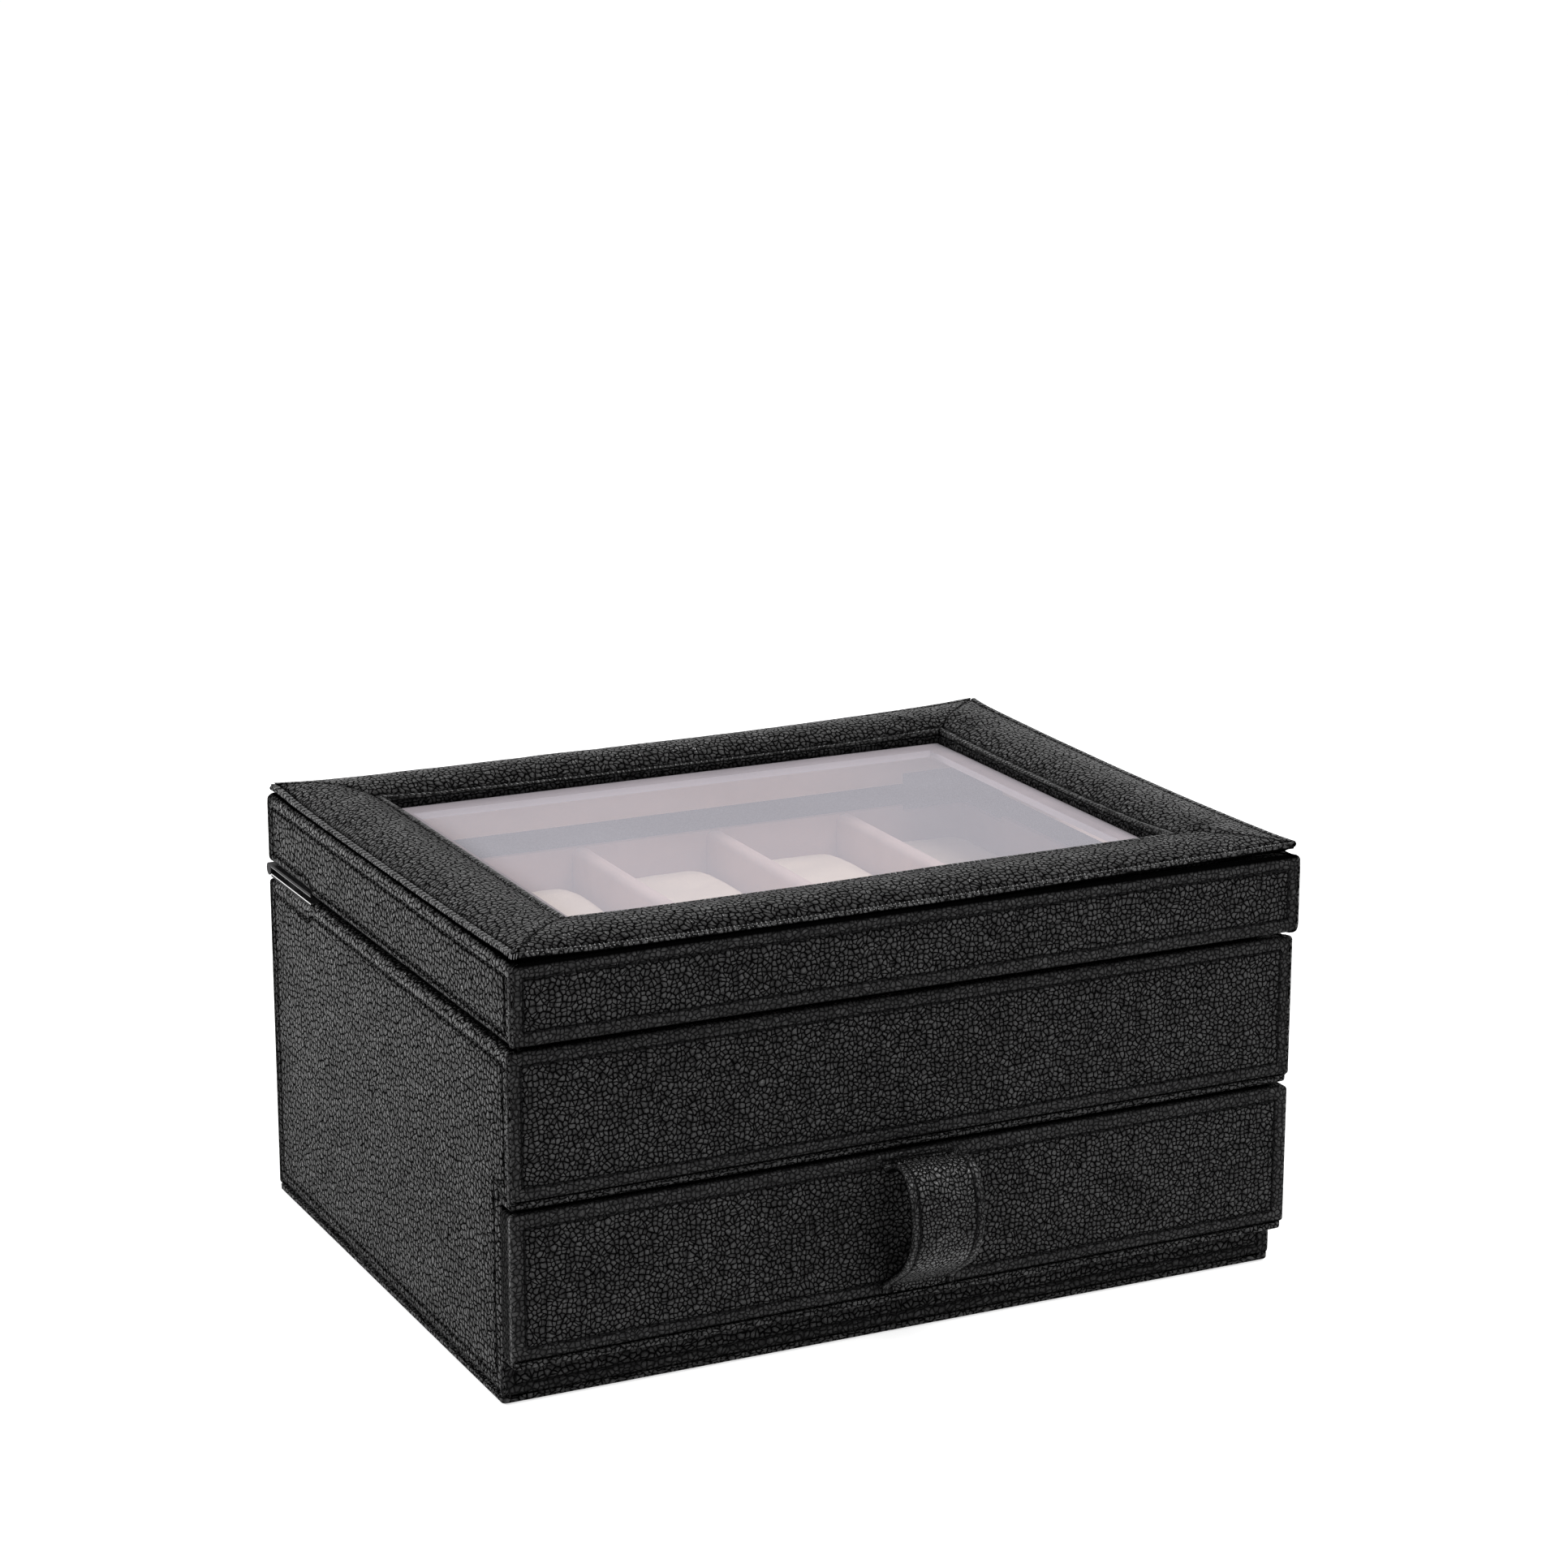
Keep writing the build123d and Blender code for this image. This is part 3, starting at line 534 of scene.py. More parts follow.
def stitches(name, body, seats, length=2.1, radius=0.28, rise=0.16, seed=1, yarn=dark_thread):
    """Threads at seats of (place, along, up) in mm, each a little different."""
    chance = random.Random(seed)
    shape, shape_faces = stitch_template(length, radius, rise)
    points, faces = [], []
    for k, (at, along, up) in enumerate(seats):
        along, up = Vector(along).normalized(), Vector(up).normalized()
        along = (Matrix.Rotation(math.radians(chance.gauss(0, 3.5)), 3, up) @ along).normalized()
        across = up.cross(along).normalized()
        up = along.cross(across)
        turned = np.array([along, across, up]).T
        size = chance.uniform(0.93, 1.05)
        points.append(shape @ turned.T * size + np.array(at) + np.array(up) * chance.uniform(-0.04, 0.03))
        faces += [tuple(n + k * len(shape) for n in f) for f in shape_faces]
    piece(name, np.vstack(points), faces, yarn, body, flat=80)


def sew_face(name, body, face, place, seed):
    """Stitches along a panel's lines, lying in its groove."""
    pitch, step, seats = 3.1, 0.01, []
    for path in face.lines:
        for (u0, v0), (u1, v1) in zip(path[:-1], path[1:]):
            run = math.hypot(u1 - u0, v1 - v0)
            if run < 1.5:
                continue
            count = max(1, round(run / pitch))
            share = (np.arange(count) + 0.5) / count
            u, v = u0 + (u1 - u0) * share, v0 + (v1 - v0) * share
            w = face.height(u, v)
            at = place(u, v, w)
            ahead = place(u + (u1 - u0) / run * step, v + (v1 - v0) / run * step, w)
            seats += zip(at, ahead - at, place(u, v, w + step) - at)
    stitches(name, body, seats, seed=seed)


def on_side(side):
    return lambda u, v, w: np.column_stack([side * (half_w + w), u, v])


def on_front(y):
    return lambda u, v, w: np.column_stack([u, y - w, v])


def on_back(u, v, w):
    return np.column_stack([u, half_d + w, v])


# Covered panels
def cover(node, body, face, place, seed, mitres=(-half_w, half_w), material=hide, thick=wall, sewn=None,
          **settings):
    slab(node, body, face, place, thick, material, mitres, **settings)
    sew_face(f"{sewn or node}_stitching", body, face, place, seed)


def cover_sides(node, body, seeds, outline, line, mitres, block, **settings):
    """Both side panels of case or lid. block is from and to what height the wall goes on inside the leaf."""
    for name, side, seed in (("left", -1, seeds[0]), ("right", 1, seeds[1])):
        face = Face(outline, [closed(line)], seed, roll=2.6, pressed=0.0, line=1.0, turn=0.6, seam=0.48,
                    groove=0.45, polish=1.0, **settings)
        x0, x1 = sorted((side * inner_w, side * side_full))
        cover(node.format(name), body, face, on_side(side), int(seed * 10), mitres, side_hide,
              extra=[((x0, leaf_front, block[0]), (x1, inner_d, block[1]))])


def sewn_rectangle(half, low, high, low_margin=margin):
    """A closed line of stitches inside a panel that is half to each side of the middle."""
    u, v0, v1 = half - margin, low + low_margin, high - margin
    return closed([(-u, v0), (u, v0), (u, v1), (-u, v1)])


def plain_face(half, low, high, seed, **settings):
    outline = [(-half, low), (half, low), (half, high), (-half, high)]
    return Face(outline, [sewn_rectangle(half, low, high)], seed, **settings)


cover_sides("{}_side", "case", (3.1, 8.7),
            [(-half_d, floor_top), (-inner_d, floor_top), (-inner_d, base_top), (half_d, base_top),
             (half_d, case_relief), (leaf_back, case_relief), (leaf_back, case_seat), (leaf_front, case_seat),
             (leaf_front, rim), (-half_d, rim)],
            [(-95.7, 67.2), (-87.6, 67.2), (-87.6, 7.4), (95.7, 7.4), (95.7, 100.8), (63.0, 100.8),
             (60.0, 102.8), (-95.7, 102.8)],
            (-half_d, -inner_d, half_d), (105.0, rim))
cover("front_panel", "case", plain_face(half_w, floor_top, rim, 21.3, dark_low=0.5), on_front(-half_d), 5)
cover("back_panel", "case",
      Face([(-half_w, base_top), (half_w, base_top), (half_w, case_relief), (back_full, case_relief),
            (back_full, rim), (-back_full, rim), (-back_full, case_relief), (-half_w, case_relief)],
           [sewn_rectangle(half_w, base_top, rim, 4.9)], 33.9), on_back, 6)
plinth_u, plinth_seam, plinth_seam_top = half_w - margin, 5.9, 13.0
cover("plinth_rail", "case",
      Face([(-half_w, base_top), (half_w, base_top), (half_w, plinth_top), (-half_w, plinth_top)],
           [[(-plinth_u, plinth_seam_top), (-plinth_u, plinth_seam), (plinth_u, plinth_seam),
             (plinth_u, plinth_seam_top)]], 41.0, puff=0.3, reach=4.0, roll=1.0),
      on_front(-inner_d), 8, material=coarse_hide, sewn="plinth", step=1.2)

lid_seam = lid_front + margin
cover_sides("lid_{}", "lid", (52.4, 57.8),
            [(lid_front, lid_low), (leaf_front, lid_low), (leaf_front, lid_seat), (leaf_back, lid_seat),
             (leaf_back, lid_relief), (half_d, lid_relief), (half_d, lid_high), (lid_front, lid_high)],
            [(lid_seam, 112.2), (60.0, 112.2), (63.0, 114.2), (95.7, 114.2), (95.7, 128.9),
             (lid_seam, 128.9)],
            (lid_front, half_d), (lid_low, 111.0), reach=7.0, dark_top=1.0)
lid_wall = {"reach": 7.0, "dark_top": 1.0, "turn": 2.2}
cover("lid_front", "lid", plain_face(half_w, lid_low, lid_high, 61.7, **lid_wall), on_front(lid_front), 9)
cover("lid_back", "lid",
      Face([(-half_w, lid_relief), (-back_full, lid_relief), (-back_full, lid_low), (back_full, lid_low),
            (back_full, lid_relief), (half_w, lid_relief), (half_w, lid_high), (-half_w, lid_high)],
           [sewn_rectangle(half_w, lid_low, lid_high)], 66.1, **lid_wall), on_back, 10)
cover("drawer_front", "drawer", plain_face(drawer_w, drawer_low, drawer_high, 74.5, dark_low=0.6),
      on_front(-half_d), 11, (), thick=drawer_front_thick)


def lip_stitches(name, half, y, z, seed):
    """Stitches along a thin lip of the case, half to each side of the middle."""
    count = round(2 * half / 2.6)
    seats = [((-half + (k + 0.5) * 2 * half / count, y, z), (1, 0, 0), (0, -1, 0)) for k in range(count)]
    stitches(name, "case", seats, length=1.7, radius=0.17, rise=0.0, seed=seed, yarn=lip_thread)


lip_stitches("chamber_floor_stitching", 124.5, -99.35, 61.9, 12)
lip_stitches("bottom_board_stitching", 125.0, -91.75, 1.6, 13)

# Padded frame
crown, plate = 137.8, 133.45
board_x, board_low_y, board_high_y = 125.85, -102.2, 99.8
window_x, window_low_y, window_high_y = 98.05, -74.4, 72.0
tip_radius, outer_seam, inner_seam = 2.6, 2.15, 24.7
# How high each strip's outer edge and window edge stand, along x or y: the corners curl up
outer_rise = {
    "front": ((-125.4, 136.3), (-110, 135.3), (-95, 134.95), (-60, 134.7), (-25, 134.6), (0, 134.8),
              (25, 135.1), (50, 135.6), (90, 136.0), (112, 136.3), (125.4, 136.9)),
    "back": ((-125.4, 136.2), (-110, 135.4), (-90, 135.1), (-25, 134.95), (30, 135.0), (60, 135.4),
             (90, 136.0), (105, 136.4), (125.4, 137.4)),
    "left": ((-101.7, 136.3), (-88, 135.4), (-65, 135.0), (-28, 134.5), (10, 134.3), (50, 134.2),
             (80, 134.6), (99.3, 136.2)),
    "right": ((-101.7, 136.9), (-71, 136.2), (-42, 135.8), (0, 135.7), (44, 136.1), (81, 136.8),
              (99.3, 137.4))}
inner_rise = {
    "front": ((-98, 136.1), (-80, 135.7), (-20, 135.6), (20, 136.1), (98, 136.3)),
    "back": ((-98, 135.4), (-86, 134.4), (-40, 133.95), (40, 133.95), (75, 134.4), (98, 135.5)),
    "left": ((-74.4, 136.1), (-60, 135.8), (60, 135.8), (72, 135.4)),
    "right": ((-74.4, 136.3), (-60, 134.9), (-20, 134.1), (30, 134.4), (60, 134.9), (72, 135.5))}
# Middle and half length of each strip's outer edge, its direction along, and its direction inwards
mid_y, half_y = (board_low_y + board_high_y) / 2, (board_high_y - board_low_y) / 2 - 0.5
pad_frames = {"front": ((0, board_low_y + 0.5), board_x - 0.5, (1, 0), (0, 1)),
              "back": ((0, board_high_y - 0.5), board_x - 0.5, (-1, 0), (0, -1)),
              "left": ((-board_x + 0.5, mid_y), half_y, (0, -1), (1, 0)),
              "right": ((board_x - 0.5, mid_y), half_y, (0, 1), (-1, 0))}


def gentle(table, at):
    """A table's value, with its bends smoothed."""
    xs, ys = zip(*table)
    return sum(weight * np.interp(at + shift, xs, ys) for shift, weight in
               ((-9, 0.15), (-4.5, 0.2), (0, 0.3), (4.5, 0.2), (9, 0.15)))


def pad_surface(edge, s, t, level):
    """Points of a strip: s from -1 to 1 along, t mm inwards, and level from 0 underneath to 1 on top."""
    (cx, cy), half, along, inward = pad_frames[edge]
    tip = np.clip(tip_radius - t, 0, tip_radius)
    reach = half - t - (tip_radius - np.sqrt(tip_radius ** 2 - tip ** 2)) * 0.9
    a = s * reach
    from_mitre = reach - np.abs(a)
    x, y = cx + a * along[0] + t * inward[0], cy + a * along[1] + t * inward[1]
    corner = np.hypot(np.abs(x) - board_x, np.minimum(y - board_low_y, board_high_y - y))
    ear = np.clip(1 - corner / 14, 0, 1) ** 2 * 1.3  # the corners are drawn out
    x, y = x + np.sign(x) * ear, y + np.sign(y) * ear

    place = x if edge in ("front", "back") else y
    low_edge, roll = gentle(outer_rise[edge], place), gentle(inner_rise[edge], place)
    outer, inner = [1 - (1 - np.clip(d, 0, 1)) ** 2.2 for d in ((t - 2.3) / 11.5, (24.5 - t) / 10.9)]
    top = np.where(t < 13.7, low_edge + (crown - low_edge) * outer,
                   roll - 0.1 + (crown - roll + 0.1) * inner)
    top = top - 0.42 * bell(t - outer_seam, 0.38) - 0.5 * bell(t - inner_seam, 0.38)
    top = top - 0.5 * np.clip(0.5 - t, 0, 1) ** 2 - 0.9 * np.clip((t - 26.3) / 1.0, 0, 1) ** 2
    middle = np.clip(np.minimum(t - 2.6, 24.2 - t) / 5, 0, 1)
    top = top - (top - low_edge) * 0.14 * bell(from_mitre, 0.9) * np.clip((t - 1) / 3, 0, 1)
    top = top + 0.1 * bell(from_mitre - 4, 2.5) * middle
    top = top + middle * (uneven(x, y, x * 0, 17.0, 5.5) * 0.2 + uneven(x, y, x * 0, 6.0, 2.5) * 0.06)
    # fine folds that fan out from the window's corners
    for ix, iy, strength in ((-window_x, window_high_y, 0.12), (window_x, window_low_y, 0.26),
                             (window_x, window_high_y, 0.34), (-window_x, window_low_y, 0.14)):
        angle = np.arctan2(y - iy, x - ix) + uneven(x, y, x * 0, 11.0, 1.2) * 0.22
        top = top + strength * np.sin(angle * 10) * bell(np.hypot(x - ix, y - iy) - 9, 10) * middle
    under = np.where(t < 3, np.maximum(low_edge - 1.75, 133.3), plate)
    return np.column_stack([x, y, under + (top - under) * level])


# A strip's section as t and level
pad_section = [(3.1, 0.0), (1.2, 0.0), (0.1, 0.02), (-0.22, 0.16), (-0.34, 0.38), (-0.34, 0.6), (-0.2, 0.84),
               (0.0, 0.96), (0.2, 1.0)]
pad_section += [(t, 1.0) for t in (
    0.5, 0.9, 1.3, 1.65, 1.9, 2.15, 2.4, 2.7, 3.1, 3.6, 4.3, 5.2, 6.3, 7.6, 9.0, 10.5, 12.0, 13.5, 15.0, 16.5,
    18.0, 19.4, 20.7, 21.8, 22.7, 23.4, 23.9, 24.25, 24.5, 24.7, 24.9, 25.2, 25.6, 26.0, 26.4, 26.8)]
pad_section += [(27.1, 0.97), (27.25, 0.8), (27.3, 0.5), (27.3, 0.0), (20.0, 0.0), (10.0, 0.0)]


def pad_strip(edge):
    half, inward = pad_frames[edge][1], pad_frames[edge][3]
    marks = np.linspace(-1, 1, round(2 * half / 1.2) + 1)
    close = [sign * (1 - d / half) for sign in (-1, 1) for d in (0.2, 0.45, 0.75)]
    marks = np.array(sorted(set(np.round(np.concatenate([marks, close]), 6))))
    s, t = [grid.ravel() for grid in np.meshgrid(marks, [p[0] for p in pad_section], indexing="ij")]
    level = np.tile([p[1] for p in pad_section], len(marks))
    press = 0.4 * np.clip(1 - (t - 1.0) / 1.2, 0, 1) + np.clip((t - 23.8) / 1.0, 0, 1)
    # groove: painted shade in the seams' creases and on the edge's lower half and underside, a dark joint
    # along the mitres, and a painted highlight on the flange's outer top
    groove = 0.85 * (bell(t - outer_seam, 0.4) + bell(t - inner_seam, 0.4))
    groove = groove + 0.9 * bell((1 - np.abs(s)) * half, 0.6) + 0.95 * (level < 0.5)
    groove = np.clip(groove - 0.5 * np.clip(1.5 - t, 0, 1) * (level > 0.5), -1, 1)
    pad = piece(f"pad_{edge}_leather", pad_surface(edge, s, t, level), loft(len(marks), len(pad_section)),
                pad_hide, "lid", (f"pad_{edge}",), flat=70,
                marks={"press": np.clip(press, 0, 1), "groove": groove})

    def overcast(name, long, pitch, start, end, up, **settings):
        """Threads over an edge, long to each side of its middle, each from start to end as t and level."""
        count, seats = round(2 * long / pitch), []
        for k in range(count):
            s0 = -0.985 + 1.97 * (k + 0.5) / count
            low, high = pad_surface(edge, *np.array([(s0, s0 + 0.6 / long), *zip(start, end)]))
            seats.append(((low + high) / 2, high - low, up))
        stitches(name, "lid", seats, length=1.9, rise=0.05, **settings)

    pitch, radius, yarn = (1.45, 0.2, waxed_lit) if edge == "front" else (2.7, 0.34, edge_thread_lit)
    overcast(f"pad_{edge}_stitching", half, pitch, (-0.2, 0.84), (1.5, 1.0),
             (-inward[0] * 0.5, -inward[1] * 0.5, 1), radius=radius, seed=len(edge) + 30, yarn=yarn)
    overcast(f"pad_{edge}_window_stitching", half - inner_seam, 1.9, (25.0, 1.0), (26.7, 1.0), (0, 0, 1),
             radius=0.2, seed=len(edge) + 50, yarn=waxed_lit)


for edge in pad_frames:
    pad_strip(edge)

tips = [((-board_x - 0.35 + max(0, k), board_low_y - 0.5 + max(0, -k), 135.5), (0.3, 0.3, 1), (-1, -1, 0.2))
        for k in (-1.5, -0.75, 0.0, 0.75, 1.5)]  # threads round the tip of the near corner
stitches("pad_corner_stitching", "lid", tips, length=1.5, radius=0.14, rise=0.1, seed=44, yarn=edge_thread_lit)
seats = []
for sx, (sy, edge) in itertools.product((-1, 1), ((-1, "front"), (1, "back"))):
    for t in np.arange(3.6, 24.0, 2.3):  # small cross stitches that close the mitres
        at = pad_surface(edge, *np.array([[-sx * sy], [t], [1.0]]))[0]
        seats.append((at + np.array([0, 0, 0.03]), (sx, -sy, 0.0), (0, 0, 1)))
stitches("pad_mitre_stitching", "lid", seats, length=1.4, radius=0.18, rise=0.0, seed=40)


def frame_sweep(name, body, x1, y0, y1, radius, section, flat=75, **settings):
    """A closed ring of turned-in leather round a rectangle. The section is a closed line of (outward, z)."""
    path = []
    for cx, cy, start in ((x1 - radius, y1 - radius, 0), (radius - x1, y1 - radius, 90),
                          (radius - x1, y0 + radius, 180), (x1 - radius, y0 + radius, 270)):
        for k in range(5):
            nx, ny = math.cos(math.radians(start + 22.5 * k)), math.sin(math.radians(start + 22.5 * k))
            path.append(np.array((cx + radius * nx, cy + radius * ny, nx, ny)))
    points, rings = [], 0
    for here, ahead in zip(path, closed(path)[1:]):
        steps = max(1, round(math.dist(here[:2], ahead[:2]) / 4))
        for k in range(steps):
            x, y, nx, ny = here + (ahead - here) * (k / steps)
            sway = noise.noise(Vector((x / 14, y / 14, 3.3))) * 0.12
            points += [(x + nx * (out + sway), y + ny * (out + sway), z) for out, z in section]
        rings += steps
    piece(name, points, loft(rings, len(section), ring=True), turned_hide, body, flat=flat, **settings)


frame_sweep("lid_top_board_leather", "lid", 98.3, -74.65, 72.25, 0.6,
            [(0.0, 133.05), (0.25, 132.95), (24.6, 132.95), (24.9, 133.1), (24.9, 133.3), (24.6, 133.5),
             (0.25, 133.5), (0.0, 133.4)], flat=60, replaced=("lid_top_board",))
frame_sweep("window_bead_leather", "lid", 96.9, -73.25, 70.85, 1.0,
            [(2.0, 131.2), (0.25, 131.05), (-0.15, 131.45), (-0.2, 132.1), (0.0, 132.7), (0.35, 133.05),
             (0.9, 133.2), (2.0, 133.2)])
# a thin roll of leather along the inner rims of case and lid, which closes the gap
roll = [(-0.1, 0.0), (0.0, 0.7), (0.3, 0.95), (0.8, 0.95), (1.1, 0.7), (1.15, 0.0), (1.0, -0.5), (0.0, -0.5)]
frame_sweep("case_rim_roll", "case", inner_w, -inner_d, inner_d, 0.5, [(o, rim + h) for o, h in roll])
frame_sweep("lid_rim_roll", "lid", inner_w, -inner_d, inner_d, 0.5,
            [(o, 108.95 - h) for o, h in reversed(roll)])

# Pull loop
loop_half, loop_thick, loop_seam = 11.75, 2.0, 2.6
strap_y, loop_top, loop_low = -101.0, 57.8, 17.2
drop = loop_top - loop_low - 1.4


def loop_line():
    """Centre line of the strap in y and z, from the top tab down, with each point's heading."""
    line, heading = [], -90.0
    at = [strap_y, loop_top]

    def straight(to, steps):
        for k in range(steps):
            share = k / steps
            line.append((at[0] + (to[0] - at[0]) * share, at[1] + (to[1] - at[1]) * share, heading))
        at[:] = to

    def turn(radius, angle):
        nonlocal heading
        inside = heading + math.copysign(90, angle)
        cy, cz = [at[k] + radius * f(math.radians(inside)) for k, f in ((0, math.cos), (1, math.sin))]
        steps = max(4, round(abs(math.radians(angle)) * radius / 0.8))
        for k in range(steps + 1):
            b = math.radians(inside - math.copysign(180, angle) + angle * k / steps)
            spot = (cy + radius * math.cos(b), cz + radius * math.sin(b))
            if k < steps:
                line.append((*spot, heading + angle * k / steps))
        at[:] = spot
        heading += angle

    straight((strap_y, loop_top - 0.7), 2)
    for share, angle in ((0.0406, 122), (1.036, -6), (0.1752, -83), (0.5434, -88)):
        turn(share * drop, -angle)
    slope, foot = math.radians(heading), 0.0889 * drop
    run = (strap_y - at[0] - foot * (1 + math.sin(slope))) / math.cos(slope)
    straight((at[0] + run * math.cos(slope), at[1] + run * math.sin(slope)), max(2, round(run / 0.8)))
    turn(foot, -90 - heading)
    straight((strap_y, loop_low), 2)
    line.append((strap_y, loop_low, heading))
    return np.array(line)


centre = loop_line()
runs = np.concatenate([[0], np.cumsum([math.dist(a[:2], b[:2]) for a, b in zip(centre, centre[1:])])])
total = runs[-1]


def strap_centre(run):
    """The strap's middle in y and z, run mm down from the top, and its heading in radians."""
    y, z, heading = [float(np.interp(run, runs, column)) for column in centre.T]
    return y, z, math.radians(heading)


def strap_point(run, x, side):
    """A point x mm across on the strap's outer (1) or inner (-1) face. The outer is right of the heading."""
    y, z, heading = strap_centre(run)
    near, ends = loop_half - abs(x), min(run, total - run)
    edge = 0.55 - math.sqrt(max(0.55 ** 2 - max(0, 0.55 - near) ** 2, 0))
    seam = max(0.22 * bell(near - loop_seam, 0.5), 0.2 * bell(ends - 3.4, 0.5) * (near > 2))
    puff = 0.16 * min(1, max(0, (near - loop_seam) / 4))
    rough = noise.noise(Vector((x / 6, run / 6, side))) * 0.07
    w = side * (loop_thick / 2 - edge - seam + puff - 0.16 + rough * min(1, near / 2))
    return (x, y + math.sin(heading) * w, z - math.cos(heading) * w)


half_across = (0, 0.1, 0.25, 0.55, 1.1, 1.7, 2.1, 2.4, 2.6, 2.8, 3.1, 3.6, 5, 7, 9)
across = sorted([sign * (loop_half - d) for sign in (-1, 1) for d in half_across] + [0])
creases = [3.0, 3.2, 3.4, 3.6, 3.8]  # beside the seams across the strap's ends
down = sorted(set(np.round([*np.linspace(0, total, round(total / 0.7)), *creases,
                            *[total - d for d in creases]], 3)))
strap_section = [(x, 1) for x in across] + [(x, -1) for x in across[::-1]]
near = np.array([loop_half - abs(x) for _ in down for x, _ in strap_section])
inner_face = np.array([side < 0 for _ in down for _, side in strap_section])
lean = np.repeat([-math.cos(strap_centre(run)[2]) for run in down], len(strap_section))
bend_highlight = np.clip((lean - 0.3) / 0.4, 0, 1) * ~inner_face  # painted highlight on the outer face of the bend
piece("pull_loop_strap", [strap_point(run, x, side) for run in down for x, side in strap_section],
      loft(len(down), len(strap_section)), strap_hide, "drawer", ("pull_loop",), "strap_leather", flat=60,
      marks={"press": np.clip(1 - (near - 2.2) / 1.2, 0, 1) * 0.7,
             # painted shade along the seams and over the whole inner face, and the bend's painted highlight
             "groove": np.maximum(0.9 * bell(near - loop_seam, 0.45), 0.9 * inner_face) - 0.9 * bend_highlight})


def strap_seat(run, x, side, along=None):
    """A thread's seat on the strap, lying along it or in a given direction."""
    here = np.array(strap_point(run, x, side))
    ahead, behind = [np.array(strap_point(r, x, side)) for r in (min(total, run + 0.4), max(0, run - 0.4))]
    up = np.cross((1, 0, 0), ahead - behind)
    if np.dot(up, here - np.array([x, *strap_centre(run)[:2]])) < 0:
        up = -up
    return here, along or ahead - behind, up


seats = [strap_seat(run, sign * (loop_half - loop_seam), side)
         for side in (1, -1) for sign in (-1, 1) for run in np.arange(2.0, total - 1.5, 2.7)]
seats += [strap_seat(run, x, 1, (1, 0, 0)) for run in (3.4, total - 3.4) for x in np.arange(-8.1, 8.2, 2.7)]
stitches("pull_loop_stitching", "drawer", seats, length=2.1, radius=0.24, rise=0.03, seed=51)


# Cushions
def pillow_start(number):
    """A soft block, a little smaller than its place, before it is blown up."""
    half_x, half_y, low, high = 19.4, 41.9, 65.6, 93.2
    mid_z, half_z = (high + low) / 2, (high - low) / 2
    mesh = bpy.data.meshes.new(f"pillow_{number}")
    work = bmesh.new()
    bmesh.ops.create_cube(work, size=1)
    for v in work.verts:
        v.co = Vector((v.co.x * 2 * half_x, v.co.y * 2 * half_y, v.co.z * 2 * half_z + mid_z))
    bmesh.ops.subdivide_edges(work, edges=work.edges[:], cuts=9, use_grid_fill=True)
    tilt = random.Random(number).uniform(-0.5, 0.5)
    for v in work.verts:
        x, y, z = v.co.x / half_x, v.co.y / half_y, (v.co.z - mid_z) / half_z
        shrink = 1 / max(1.0, abs(x) ** 11 + abs(y) ** 18 + abs(z) ** 9) ** (1 / 13)
        v.co.x *= shrink * (1 - 0.05 * (1 - y * y) * (1 - abs(z)))
        v.co.y *= shrink
        up = z * shrink
        if up > 0:
            up *= 1 - 0.035 * abs(y) ** 3 - 0.04 * x * x
        v.co.z = up * half_z + mid_z + tilt * x * 0.5
    work.to_mesh(mesh)
    work.free()
    mesh.transform(Matrix.Scale(0.001, 4))
    return mesh


def puffed(mesh, cap=1.5):
    """The mesh remeshed, blown up as cloth with no gravity, and smoothed. No point moves more than cap mm."""
    work = bpy.data.objects.new("pillow_work", mesh)
    scene.collection.objects.link(work)
    bpy.context.view_layer.objects.active = work

    def apply(name, kind, **settings):
        made = work.modifiers.new(name, kind)
        for key, value in settings.items():
            setattr(made, key, value)
        with bpy.context.temp_override(object=work, active_object=work, selected_objects=[work]):
            bpy.ops.object.modifier_apply(modifier=name)

    apply("Remesh", "REMESH", mode="VOXEL", voxel_size=0.003)
    start = np.array([v.co[:] for v in work.data.vertices])
    cloth = work.modifiers.new("Cloth", "CLOTH")
    for key, value in (("quality", 5), ("mass", 0.15), ("tension_stiffness", 18),
                       ("compression_stiffness", 18), ("bending_stiffness", 0.4),
                       ("use_pressure", True), ("uniform_pressure_force", 4.0)):
        setattr(cloth.settings, key, value)
    cloth.settings.effector_weights.gravity = 0.0
    cloth.point_cache.frame_start, cloth.point_cache.frame_end = 1, 20
    for now in range(1, 21):
        scene.frame_set(now)
    shown = work.evaluated_get(bpy.context.evaluated_depsgraph_get())
    move = np.array([v.co[:] for v in shown.data.vertices]) - start
    work.modifiers.remove(cloth)
    scene.frame_set(1)
    length = np.linalg.norm(move, axis=1, keepdims=True)
    move *= np.minimum(1, cap / 1000 / np.maximum(length, 1e-9))
    for v, p in zip(work.data.vertices, start + move):
        v.co = p
    apply("Smooth", "SUBSURF", levels=1, render_levels=1)
    points = np.array([v.co[:] for v in work.data.vertices]) * 1000
    faces = [tuple(p.vertices) for p in work.data.polygons]
    bpy.data.objects.remove(work)
    return points, faces


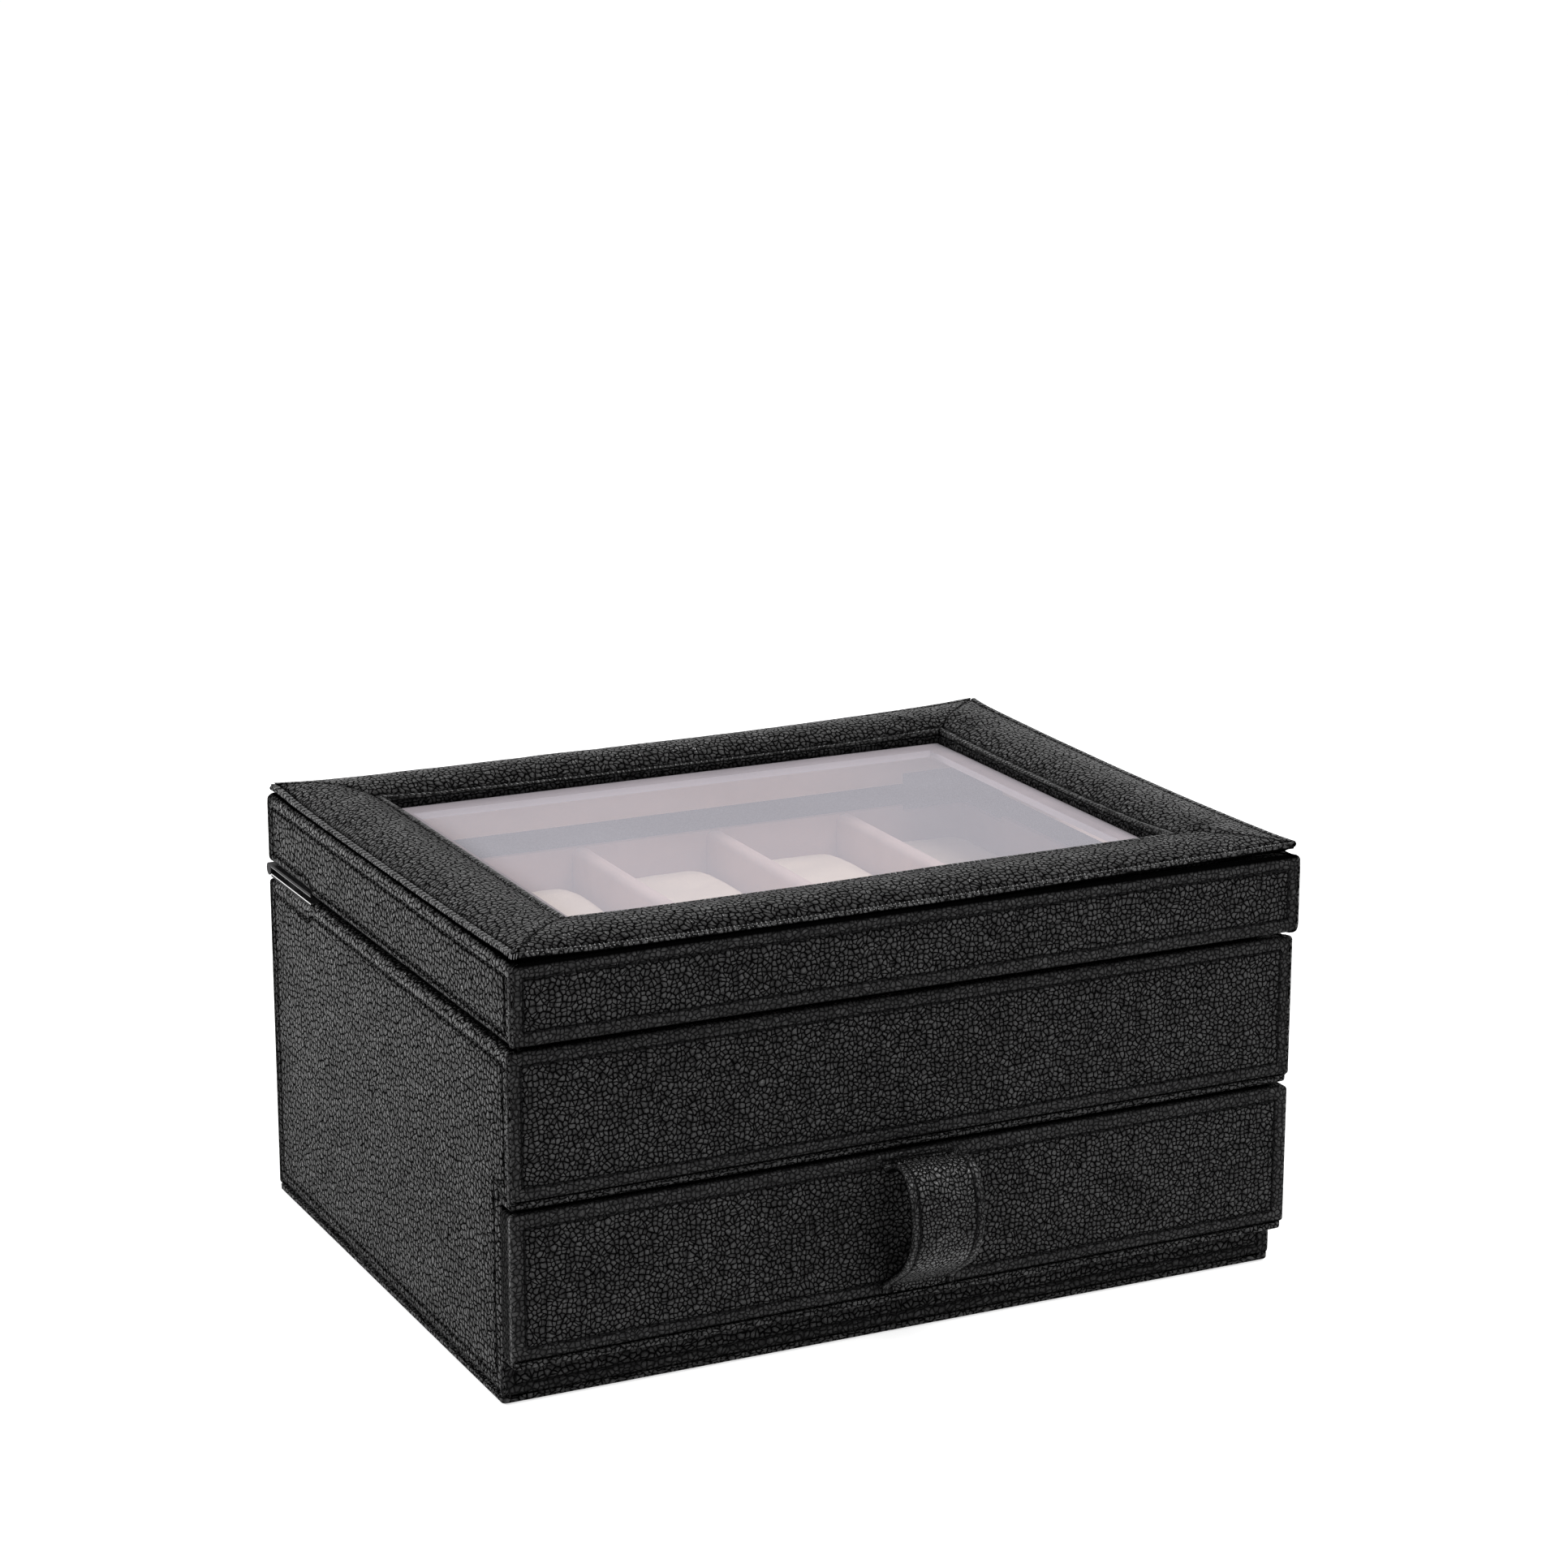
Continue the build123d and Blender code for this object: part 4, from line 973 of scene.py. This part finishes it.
shapes = [puffed(pillow_start(number)) for number in (1, 2)]
columns, row_y = (-96.2, -48.1, 0.0, 48.1, 96.2), 46.5
for number in range(1, 11):
    points, faces = shapes[number % 2]
    points = points * (-1 if number in (3, 4, 8, 9) else 1, -1 if number in (2, 3, 6, 10) else 1, 1)
    dent = uneven(*points.T, 15.0, number * 3.3) * 0.35 + uneven(*points.T, 5.0, number * 1.7) * 0.1
    upper = np.clip((points[:, 2] - 80) / 8, 0, 1)
    points[:, 2] += (dent - 0.28 * bell(np.abs(points[:, 0]) - 16.6, 0.55)) * upper
    points = np.clip(points, (-20.3, -42.7, 64.55), (20.3, 42.7, 93.45))
    points += (columns[(number - 1) % 5], -row_y if number <= 5 else row_y, 0)
    node = f"cushion_{number}"
    pad = piece(f"{node}_suede", points, faces, pillow, node, (node,), "cushion_suede", flat=60)

# The CAD nodes that stay
dividers = ("long_divider", *[f"cross_divider_{number}" for number in range(1, 5)])
kept = {
    lining: dividers,
    wall_suede_shaded: ("chamber_lining", "floor_lining", "drawer_lining"),
    lid_suede: ("lid_lining",),
    ledge: ("glass_retainer",),
    glass: ("glass_pane",),
    steel: ("case_hinge_screws", "lid_hinge_screws"),
    case_leaf: ("case_hinge_leaf_left", "case_hinge_leaf_right"),
    lid_leaf: ("lid_hinge_leaf_left", "lid_hinge_leaf_right"),
    shade_black_steel: ("hinge_pin_left", "hinge_pin_right"),
    felt: ("base_felt",),
    coarse_hide: ("bottom_board",),
    turned_hide: ("window_bead", "drawer_left", "drawer_right", "drawer_back", "drawer_deck"),
    hide: ("chamber_floor", "drawer_bottom"),
}
for material, names in kept.items():
    for name in names:
        nodes[name].data.materials.clear()
        nodes[name].data.materials.append(material)
for name in dividers:
    soft = nodes[name].modifiers.new("Soft edges", "BEVEL")
    soft.width, soft.segments, soft.angle_limit = 0.0016, 4, math.radians(50)

# Camera, light, floor
camera = bpy.data.objects.new("camera", bpy.data.cameras.new("camera"))
scene.collection.objects.link(camera)
camera.data.lens, camera.data.sensor_width = 91.04, 36.0
camera.data.clip_start, camera.data.clip_end = 0.05, 100
camera.rotation_mode = "QUATERNION"
camera.location = (-0.5081, -1.0571, 0.45505)
camera.rotation_quaternion = Vector((0.4226, 0.8695, -0.2556)).to_track_quat("-Z", "Y")
scene.camera = camera

for name, at, size, power in (("key", (-0.95, 1.15, 0.62), 0.16, 15.0), ("top", (0.15, -1.0, 1.2), 0.8, 11.5),
                              ("fill", (0.66, -0.42, 1.3), 0.2, 3.0)):
    light = bpy.data.lights.new(name, "AREA")
    light.shape, light.size, light.size_y = "RECTANGLE", size, size
    light.energy = power
    lamp = bpy.data.objects.new(name, light)
    scene.collection.objects.link(lamp)
    lamp.rotation_mode = "QUATERNION"
    lamp.location = at
    lamp.rotation_quaternion = (Vector(at) - Vector((0, 0, 0.08))).to_track_quat("Z", "Y")

white = (1, 1, 1, 1)
m = Shade(bpy.data.materials.new("pale_floor"), Base_Color=(0.82, 0.82, 0.82, 1), Roughness=0.9,
          Specular_IOR_Level=0.1, Emission_Color=white)
plain, glow = m.main.outputs[0], m.node("Emission", {"Color": white, "Strength": 0.72})[0]
m.show(m.either(m.seen(), plain, m.node("AddShader", {0: plain, 1: glow})[0]))
floor_mesh = bpy.data.meshes.new("floor")
floor_mesh.from_pydata([(-12, -12, 0), (12, -12, 0), (12, 12, 0), (-12, 12, 0)], [], [(0, 1, 2, 3)])
floor_mesh.materials.append(m.owner)
floor = bpy.data.objects.new("floor", floor_mesh)
floor.location.z = -0.0002
scene.collection.objects.link(floor)

scene.world = bpy.data.worlds.new("world")
m = Shade(scene.world, Color=white, Strength=0.35)
m.show(m.either(m.seen(), m.main.outputs[0], m.node("Background", {"Color": white, "Strength": 1.0})[0]))
